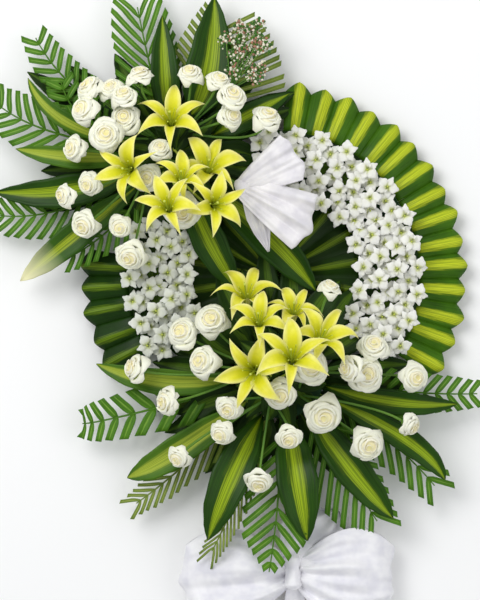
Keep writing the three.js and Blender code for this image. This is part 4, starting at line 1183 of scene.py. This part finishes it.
@dataclass
class Ring:
    """The pleated edge, the closed middle and the orchids, in millimetres and degrees."""

    foam_inner: float = 180.0
    foam_outer: float = 290.0
    foam_top: float = 60.0
    tip_radius: float = 394.0
    valley_radius: float = 370.0
    pleat: float = 7.9
    ridge: float = 9.0
    droop: float = 14.0
    root_height: float = 46.0
    bed_leaves: int = 18
    bed_height: float = 36.0
    broad_petal: tuple[float, float] = (0.84, 0.95)
    sepal: tuple[float, float] = (0.54, 0.92)
    floret_radius: float = 26.0
    floret_pitch: float = 51.0
    rows: tuple[float, ...] = (176.0, 212.0, 249.0, 286.0)
    edges: dict[str, tuple[float, int]] = field(default_factory=lambda: {
        "rim_leaves_upper": (31.0, 7), "rim_leaves_lower": (-32.4, 8),
        "rim_leaves_left": (172.0, 5)})
    bands: dict[str, tuple[float, float]] = field(default_factory=lambda: {
        "orchids_right_upper": (32.0, 98.0), "orchids_right_lower": (-35.0, 31.0),
        "orchids_left": (156.0, 215.0)})

    def build_edge(self) -> None:
        """Makes the pleated leaves, each folded along its bright midrib."""
        for node, (start, count) in self.edges.items():
            # The left rim takes the darker copy of the pleated leaf: painted shade.
            shade = Finish.PLEATED_DARK if node == "rim_leaves_left" else Finish.PLEATED
            builder = Builder(f"{node}_detailed", shade)
            chance = Random(node)
            for k in range(count):
                middle = start + self.pleat * (k + 0.5)
                tip = self.tip_radius - 4.0 * (k % 2) - 2.0 + chance.uniform(-3.0, 1.5)
                ridge = chance.uniform(0.42, 0.58)

                def fold(u: float, v: float) -> Vector:
                    """Lays the grid over one pleat, high on its ridge and low in its valleys."""
                    off = (ridge - u) / ridge if u < ridge else (u - ridge) / (1.0 - ridge)
                    reach = tip - (tip - self.valley_radius) * off ** 1.4
                    rise = blend(self.ridge, -self.ridge / 2, off ** 0.9)
                    share = blend(0.33, 1.0, eased(v * 2.0))
                    drop = self.droop * (0.2 * v + 0.8 * v * v)
                    radius = blend(self.foam_outer + 0.5, reach, v)
                    angle = middle + self.pleat * (u - 0.5) * (1.0 + 0.1 * v)
                    return polar(radius, angle, self.root_height + rise * share - drop)

                builder.sheet(10, 8, fold, 0.9, shift=chance.uniform(-0.13, 0.13))
            builder.finish("pleated_leaf", node)

    def build_bed(self) -> None:
        """Makes the folded leaves that close the middle, cut clear of the lower drum."""
        # The bed's near-black leaf finish is painted shade.
        builder = Builder("leaf_bed_detailed", Finish.BED)
        for k in range(self.bed_leaves):
            middle = 360.0 * (k + 0.5) / self.bed_leaves

            def fold(u: float, v: float) -> Vector:
                """Lays the grid over one fold, from the ring's centre outwards."""
                off = abs(2.0 * u - 1.0)
                radius = blend(4.0, self.foam_inner - 1.5, v)
                rise = blend(self.ridge, -self.ridge * 0.6, off) * radius / self.foam_inner
                angle = middle + 360.0 / self.bed_leaves * (u - 0.5)
                return polar(radius, angle, self.bed_height + rise)

            builder.sheet(8, 12, fold)
        inside = [face for face in builder.mesh.faces if (
            face.calc_center_median().xy - Vector((LOWER.x, LOWER.y))).length < 88.0]
        bmesh.ops.delete(builder.mesh, geom=inside, context="FACES")
        bmesh.ops.remove_doubles(builder.mesh, verts=builder.mesh.verts, dist=0.02)
        bmesh.ops.solidify(builder.mesh, geom=list(builder.mesh.faces), thickness=1.0)
        builder.finish("pleated_leaf", "leaf_bed")

    def floret(self, builder: Builder, head: Head, foot: float, chance: Random) -> None:
        """Adds one dendrobium floret: three sepals, two broad petals, a lip and its stalk.

        Args:
            builder: the piece that it joins; its finishes are petal, stamen and stem.
            head: the frame of the floret.
            foot: the height in millimetres where its stalk starts.
            chance: the draws that make each petal a little different.
        """
        for k in range(5):
            broad = k in (1, 4)
            bearing = head.roll + 72.0 * k + chance.uniform(-5, 5)
            width, reach = self.broad_petal if broad else self.sepal
            cup = chance.uniform(-0.04, 0.16)

            def petal(u: float, v: float) -> Vector:
                """Spreads the grid into one blunt petal, cupped and bent back at its rim."""
                off = 2.0 * u - 1.0
                half = width / 2.0 * max(0.14, math.sin(math.pi * (0.04 + 0.84 * v)) ** 0.7)
                distance = reach * v * (1.0 - 0.22 * off * off * v)
                bend = math.degrees(math.atan2(off * half, max(distance, 0.12)))
                lift = cup + 0.16 * math.sin(v * 2.6) - 0.16 * v * v + 0.1 * off * off * v
                return head.at(math.hypot(distance, off * half), bearing + bend,
                               lift + (0.06 if broad else 0.0))

            builder.sheet(4, 5, petal, 0.5)
        builder.sheet(4, 4, lambda u, v: head.at(
            0.1 + 0.42 * v, head.roll + 180.0 + (u - 0.5) * 80.0 * (1.1 - v),
            0.12 + 0.3 * (2 * u - 1) ** 2 * (1 - v) + 0.22 * math.sin(v * 3.0)), 0.5)
        builder.ball(head.at(0.05, head.roll, 0.2), Vector((2.2, 2.2, 3.0)), 1)
        top = head.at(0.0, 0.0, -0.02)
        builder.tube(lambda t: Vector((top.x, top.y, blend(foot, top.z, t))),
                     lambda t: 1.6, 5, 2, 2)

    def stand_floret(self, builder: Builder, row: float, angle: float, rise: float,
                     wobble: float, chance: Random) -> None:
        """Adds a floret to a band, turned a little at random.

        Args:
            builder: the piece that it joins.
            row: its row, from the inner one outwards; a half lies between two rows.
            angle: its bearing from the ring's centre.
            rise: its height over the foam.
            wobble: how far it strays from its row, from -1 to 1.
            chance: the draws that turn it.
        """
        radius = blend(self.rows[0], self.rows[-1], row / (len(self.rows) - 1))
        centre = polar(radius + 3.0 * wobble, angle, self.foam_top + rise)
        lean = 3.0 * (row - 1.5) + 2.0 * wobble + chance.uniform(-16, 16)
        head = Head(centre, leaning(lean, angle + chance.uniform(-60, 60)), self.floret_radius,
                    90.0 + 25.0 * wobble + chance.uniform(-40, 40))
        self.floret(builder, head, self.foam_top + 4.0, chance)

    def build_orchids(self) -> None:
        """Makes the orchid bands, floret by floret, on their mats of stalks."""
        for node, (start, end) in self.bands.items():
            # The left band takes the greyer copy of the white petal: painted shade.
            petal = Finish.YOUNG_ORCHID if node == "orchids_left" else Finish.ORCHID
            builder = Builder(f"{node}_detailed", petal, Finish.STAMEN, Finish.STEM, Finish.SHADED)
            chance = Random(node)
            # The mat stands for the florets' stalks; its dark shaded-leaf colour is painted shade
            # between the florets.
            builder.sheet(10, 40, lambda u, v: polar(
                blend(self.rows[0] - 6.0, self.rows[-1] + 6.0, u), blend(start + 3, end - 3, v),
                self.foam_top + 3.0 + 2.4 * noise.noise(Vector((9 * u, 40 * v, 1.0)))), 2.5, 3)
            for row, radius in enumerate(self.rows):
                span = math.radians(end - start) * radius - self.floret_pitch
                count = max(2, round(span / self.floret_pitch))
                margin = math.degrees(0.6 * self.floret_pitch / radius)
                for k in range(count + 1):
                    angle = start + margin + (end - start - 2 * margin) * k / count
                    self.stand_floret(builder, row, angle, 20.0 + 8.0 * ((row + 2 * k) % 3),
                                      math.sin(row * 2.3 + k * 4.1), chance)
                # Lower florets fill the gaps between this row and the next.
                for k in range(count + 2 if row < len(self.rows) - 1 else 0):
                    angle = start + margin + (end - start - 2 * margin) * (k - 0.5) / count
                    self.stand_floret(builder, row + 0.5, angle, 14.0, 0.3, chance)
            builder.finish("orchid_petal", node)


# Cloth.


@dataclass
class Loop:
    """One loop of a bow: a band of cloth folded over, gathered at the knot."""

    start: Vector
    end: Vector
    width: float
    depth: float
    pleats: int = 7
    fan: bool = False
    pleat_depth: float = 0.16
    ragged: float = 8.0

    def shape(self, u: float, v: float) -> Vector:
        """Finds the place of the band.

        Args:
            u: the share across the band.
            v: the share along it, out along its top and back underneath.

        Returns:
            The place in millimetres.
        """
        along = self.end - self.start
        flat = Vector((along.x, along.y, 0.0)).normalized()
        side = UP.cross(flat)
        turn = 2.0 * math.pi * v
        out = (1.0 - math.cos(turn)) / 2.0
        if self.fan:
            spread = 0.3 + 0.7 * out ** 0.8
        else:
            spread = 0.38 + 0.62 * math.sin(min(1.0, out / 0.6) * math.pi / 2)
            spread *= 1.0 - 0.3 * max(0.0, (out - 0.6) / 0.4) ** 2
        off = 2.0 * u - 1.0
        # Uneven folds run from the knot to the loop's far end, and change slowly along it.
        seed = self.start.x + self.end.y
        crimp = 2.4 * noise.noise(Vector((self.pleats * u, 0.7 * out + v, seed)))
        crimp += 1.0 * noise.noise(Vector((2.7 * self.pleats * u, 1.6 * out + v, seed + 9.0)))
        high = math.sin(turn) * self.depth * (0.35 + 0.65 * math.sqrt(max(0.0, out)))
        high *= 1.0 - 0.35 * off * off
        far = 2.0 * self.ragged * noise.noise(Vector((2.2 * off, seed, 0.5))) * out
        place = self.start.lerp(self.end, out) + flat * (far - 2.4 * self.ragged * off * off * out)
        place += side * (off * self.width * spread)
        # Soft dents of about 40 mm cross the folds.
        dent = noise.noise(Vector((place.x / 38.0, (place.x + place.y) / 52.0, seed + 3.0 * v)))
        fade = 0.35 + 0.65 * out if self.fan else 1.0 - 0.7 * out
        return place + UP * (high + 9.0 * dent * out
                             + crimp * self.pleat_depth * self.depth * fade)


@dataclass
class Ribbon:
    """A flat strip of cloth along stations of place and half width, with waves across it."""

    stations: tuple[tuple[float, float, float, float], ...]
    wave: float = 3.0
    pleats: float = 3.0

    def shape(self, u: float, v: float) -> Vector:
        """Returns the place of the strip at (u, v)."""
        count = len(self.stations) - 1
        index = min(count - 1, int(v * count))
        share = eased(v * count - index) * 0.5 + 0.5 * (v * count - index)
        low, high = self.stations[index], self.stations[index + 1]
        x, y, z, half = (blend(a, b, share) for a, b in zip(low, high))
        ahead = Vector((high[0] - low[0], high[1] - low[1], 0.0)).normalized()
        side = UP.cross(ahead)
        off = 2.0 * u - 1.0
        ripple = self.wave * math.sin(self.pleats * math.pi * 2 * u + 2.0 * v) * (0.3 + v)
        return Vector((x, y, z)) + side * (off * half) + UP * ripple


def cloth_piece(name: str, shape: Shape, across: int, along: int, node: str,
                finish: Finish) -> bpy.types.Object:
    """Args:
        name: the piece's name.
        shape: the place in millimetres of each (u, v).
        across: faces across the cloth.
        along: faces along it.
        node: the CAD node that it stands for.
        finish: its material.

    Returns:
        The sheet.
    """
    builder = Builder(name, finish)
    builder.sheet(across, along, shape)
    area = sum(face.calc_area() for face in builder.mesh.faces) * MM * MM
    middle = [shape(0.5, k / 40) for k in range(41)]
    length = sum((b - a).length for a, b in zip(middle, middle[1:])) * MM
    piece = builder.finish("bow_cloth", node)
    solid = piece.modifiers.new("thickness", "SOLIDIFY")
    solid.thickness = 0.5 * MM
    solid.offset = 0.0
    return piece


@dataclass
class UpperBow:
    """The small voile bow at the right of the upper spray."""

    node: str = "bow_upper"
    peg_bearing: float = -12.0
    peg_distance: float = 66.0
    knot: tuple[float, float] = (-66.0, 176.0)

    def build(self) -> None:
        """Makes the loops, the tail, the knot and the wire that holds the bow."""
        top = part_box(self.node)[1].z / MM
        raised = top - 46.0
        start = Vector((*self.knot, raised))
        loops = {
            "bow_upper_loop_above": Loop(start, Vector((44, 240, raised + 24)), 50, 16, 3,
                                         fan=True, pleat_depth=0.5, ragged=5),
            "bow_upper_loop_beside": Loop(start, Vector((72, 100, raised + 20)), 60, 20, 4,
                                          fan=True, pleat_depth=0.5, ragged=7),
        }
        for name, loop in loops.items():
            cloth_piece(name, loop.shape, 40, 32, self.node,
                        Finish.VOILE)
        tail = Ribbon(((-60, 168, raised - 2, 8), (-36, 120, raised, 21), (-24, 88, raised - 3, 17),
                       (-11, 48, raised - 6, 2)))
        cloth_piece("bow_upper_tail", tail.shape, 18, 16, self.node,
                    Finish.VOILE)
        builder = Builder("bow_upper_knot", Finish.VOILE, Finish.STEM)
        builder.tube(lambda t: start + polar(blend(-17, 17, t), 120.0, 0.0),
                     lambda t: 4.0 + 8.0 * math.sin(math.pi * t) ** 0.5, 14, 8, 0)
        peg = Vector((UPPER.x, UPPER.y, 0.0)) + polar(self.peg_distance, self.peg_bearing, 64.0)
        builder.tube(lambda t: peg.lerp(Vector((peg.x, peg.y, 104.0)), t), lambda t: 4.6, 8, 2, 1)
        first = Vector((peg.x, peg.y, 102.0))
        builder.tube(lambda t: first.lerp(start - UP * 8.0, t) + UP * (16 * math.sin(math.pi * t)),
                     lambda t: 2.4, 7, 10, 1)
        builder.finish("bow_cloth", self.node)


@dataclass
class FootBow:
    """The large cloth bow at the foot of the wreath."""

    knot: tuple[float, float, float] = (38.0, -592.0, 62.0)
    half_gap: float = 14.0

    def build(self) -> None:
        """Makes the two wide loops, the collar, the knot and the tail."""
        knot = Vector(self.knot)
        gap = Vector((self.half_gap, 0.0, 0.0))
        loops = {
            "foot_bow_left": Loop(knot - gap, Vector((-184, -606, 54)), 94, 42, 4,
                                  pleat_depth=0.3, ragged=7),
            "foot_bow_right": Loop(knot + gap, Vector((244, -608, 54)), 98, 42, 4,
                                   pleat_depth=0.3, ragged=9),
        }
        for node, loop in loops.items():
            cloth_piece(f"{node}_loop", loop.shape, 64, 48, node,
                        Finish.SATEEN)
        collar = Ribbon(((36, -572, 72, 24), (64, -530, 78, 66), (98, -502, 74, 58),
                         (118, -480, 66, 32), (124, -468, 62, 8)), 5.0, 3.0)
        cloth_piece("foot_bow_collar", collar.shape, 36, 24, "foot_bow_knot",
                    Finish.SATEEN)
        tail = Ribbon(((40, -624, 58, 16), (44, -680, 30, 25), (48, -748, 15, 31),
                       (50, -770, 12, 30)), 3.0, 2.0)
        cloth_piece("foot_bow_tail", tail.shape, 24, 20, "foot_bow_knot",
                    Finish.SATEEN)
        builder = Builder("foot_bow_band", Finish.SATEEN)

        def band(u: float, v: float) -> Vector:
            """Wraps the grid round the gathered cloth, closed and rounded at both ends."""
            turn = 2.0 * math.pi * u
            closed = min(1.0, 7.0 * v, 7.0 * (1.0 - v)) ** 0.5
            waist = closed * (20.0 - 5.0 * math.sin(math.pi * v))
            crease = 1.0 + 0.06 * math.sin(9 * turn + 2.0 * v)
            tall = closed * (33.0 - 3.0 * math.sin(math.pi * v))
            return knot + Vector((waist * math.cos(turn) * crease, 38.0 - 76.0 * v,
                                  tall * math.sin(turn)))

        builder.sheet(36, 28, band, 0.0, 0, True)
        builder.finish("bow_cloth", "foot_bow_knot")


@dataclass
class FillerSprig:
    """The twiggy spray of small dried florets at the top right."""

    node: str = "filler_sprig"
    twigs: tuple[tuple[float, float], ...] = (
        (-66, 470), (-34, 498), (-20, 456), (-58, 420), (-96, 470), (-28, 412), (-48, 446),
        (-78, 440), (-30, 470), (-50, 488), (-84, 408), (-40, 396), (-70, 496), (-66, 452))
    fork: tuple[float, float] = (-86.0, 372.0)
    fork_height: float = 108.0
    tip_height: float = 104.0
    solid_radius: float = 11.0
    stagger: float = 9.0
    florets: int = 70
    spread: tuple[float, float] = (19.0, 8.0)

    def build(self) -> None:
        """Makes the twigs and their clusters of florets."""
        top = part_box(self.node)[1].z / MM
        lift = top - self.solid_radius - self.tip_height - 2.0 * self.stagger
        builder = Builder("filler_sprig_detailed", Finish.FILLER, Finish.BRACT, Finish.STEM)
        path = LeafPath(UPPER, (-84, 420), (-30, 500), 84.0, 0.0, 0.0)
        fork = Vector((*self.fork, self.fork_height + lift))
        builder.tube(lambda t: path.root.lerp(path.exit, t), lambda t: 1.5, 6, 2, 2)
        builder.tube(lambda t: path.exit.lerp(fork, t), lambda t: 1.8, 6, 4, 2)
        chance = Random(7)
        for k, (x, y) in enumerate(self.twigs):
            tip = Vector((x, y, self.tip_height + lift + self.stagger * (k % 3)))
            builder.tube(lambda t: fork.lerp(tip, t) + UP * (4 * math.sin(math.pi * t)),
                         lambda t: 1.0, 5, 5, 2)
            for _ in range(self.florets):
                way = Vector([chance.gauss(0, 1) for _ in range(3)]).normalized()
                wide, tall = self.spread
                spot = tip + Vector((way.x * wide, way.y * wide, way.z * tall)) * (
                    chance.uniform(0.2, 1.0))
                builder.tube(lambda t, s=spot: tip.lerp(s, t), lambda t: 0.5, 4, 1, 2)
                builder.ball(spot, Vector((2.6, 2.6, 1.8)) * chance.uniform(0.7, 1.4),
                             chance.choice((0, 1, 1, 2, 2)))
        builder.finish("dried_filler", self.node)


def dress_backing() -> None:
    """Gives the laths and the foam, which keep their CAD shapes, their materials."""
    for node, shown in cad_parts.items():
        if node.startswith("lath"):
            finish = Finish.WOOD_LONG if node == "lath_spine" else Finish.WOOD
        elif node.startswith("foam"):
            finish = Finish.FOAM
        else:
            continue
        shown.data.materials.clear()
        shown.data.materials.append(finish.material())


@dataclass
class Studio:
    """The pale floor, soft lights and the camera straight above the wreath, in metres."""

    centre: tuple[float, float] = (-0.068, -0.048)
    view_height: float = 1.2
    distance: float = 9.0
    plane: float = 0.08
    sky_strength: float = 0.62

    def add_light(self, name: str, place: tuple[float, float, float], size: float,
                  watts: float) -> None:
        """Adds one square soft light that faces the wreath.

        Args:
            name: the light's name.
            place: where it stands.
            size: the length of its side.
            watts: its power.
        """
        data = bpy.data.lights.new(name, "AREA")
        data.size = size
        data.energy = watts
        light = bpy.data.objects.new(name, data)
        light.location = place
        light.rotation_mode = "QUATERNION"
        aim = Vector((*self.centre, 0.05)) - Vector(place)
        light.rotation_quaternion = aim.to_track_quat("-Z", "Y")
        bpy.context.scene.collection.objects.link(light)

    def build(self) -> None:
        """Makes the floor, the lights, the sky and the camera."""
        scene = bpy.context.scene
        mesh = bpy.data.meshes.new("floor")
        shape = bmesh.new()
        bmesh.ops.create_grid(shape, x_segments=1, y_segments=1, size=6.0)
        shape.to_mesh(mesh)
        shape.free()
        material, _, shader = new_material("pale_floor_paint")
        shader.inputs["Base Color"].default_value = linear("f8f8f7")
        shader.inputs["Roughness"].default_value = 0.9
        mesh.materials.append(material)
        floor = bpy.data.objects.new("floor", mesh)
        scene.collection.objects.link(floor)
        self.add_light("key_light", (-1.6, 1.6, 3.2), 2.0, 80.0)
        self.add_light("fill_light", (2.2, -0.6, 2.8), 2.6, 24.0)
        world = bpy.data.worlds.new("studio_sky")
        world.use_nodes = True
        world.node_tree.nodes["Background"].inputs["Color"].default_value = linear("f3f5f8")
        world.node_tree.nodes["Background"].inputs["Strength"].default_value = self.sky_strength
        scene.world = world
        scene.view_settings.view_transform = "Standard"
        data = bpy.data.cameras.new("camera")
        data.lens = data.sensor_width / 2 / (self.view_height / 2 / self.distance)
        camera = bpy.data.objects.new("camera", data)
        camera.location = (*self.centre, self.distance + self.plane)
        scene.collection.objects.link(camera)
        scene.camera = camera


def main() -> None:
    """Builds the wreath from the back to the front."""
    logging.basicConfig(level=logging.INFO)
    Studio().build()
    dress_backing()
    ring = Ring()
    ring.build_edge()
    ring.build_bed()
    ring.build_orchids()
    build_foliage()
    for layer in BACK_LAYERS:
        layer.build()
    for node in LILIES:
        node.build(Lily(), "lily_petal", (Finish.LILY, Finish.STAMEN))
    for node in ROSES:
        node.build(Rose(), "rose_petal", (Finish.ROSE, Finish.STEM, Finish.HEART))
    UpperBow().build()
    FootBow().build()
    FillerSprig().build()


if __name__ == "__main__":
    main()
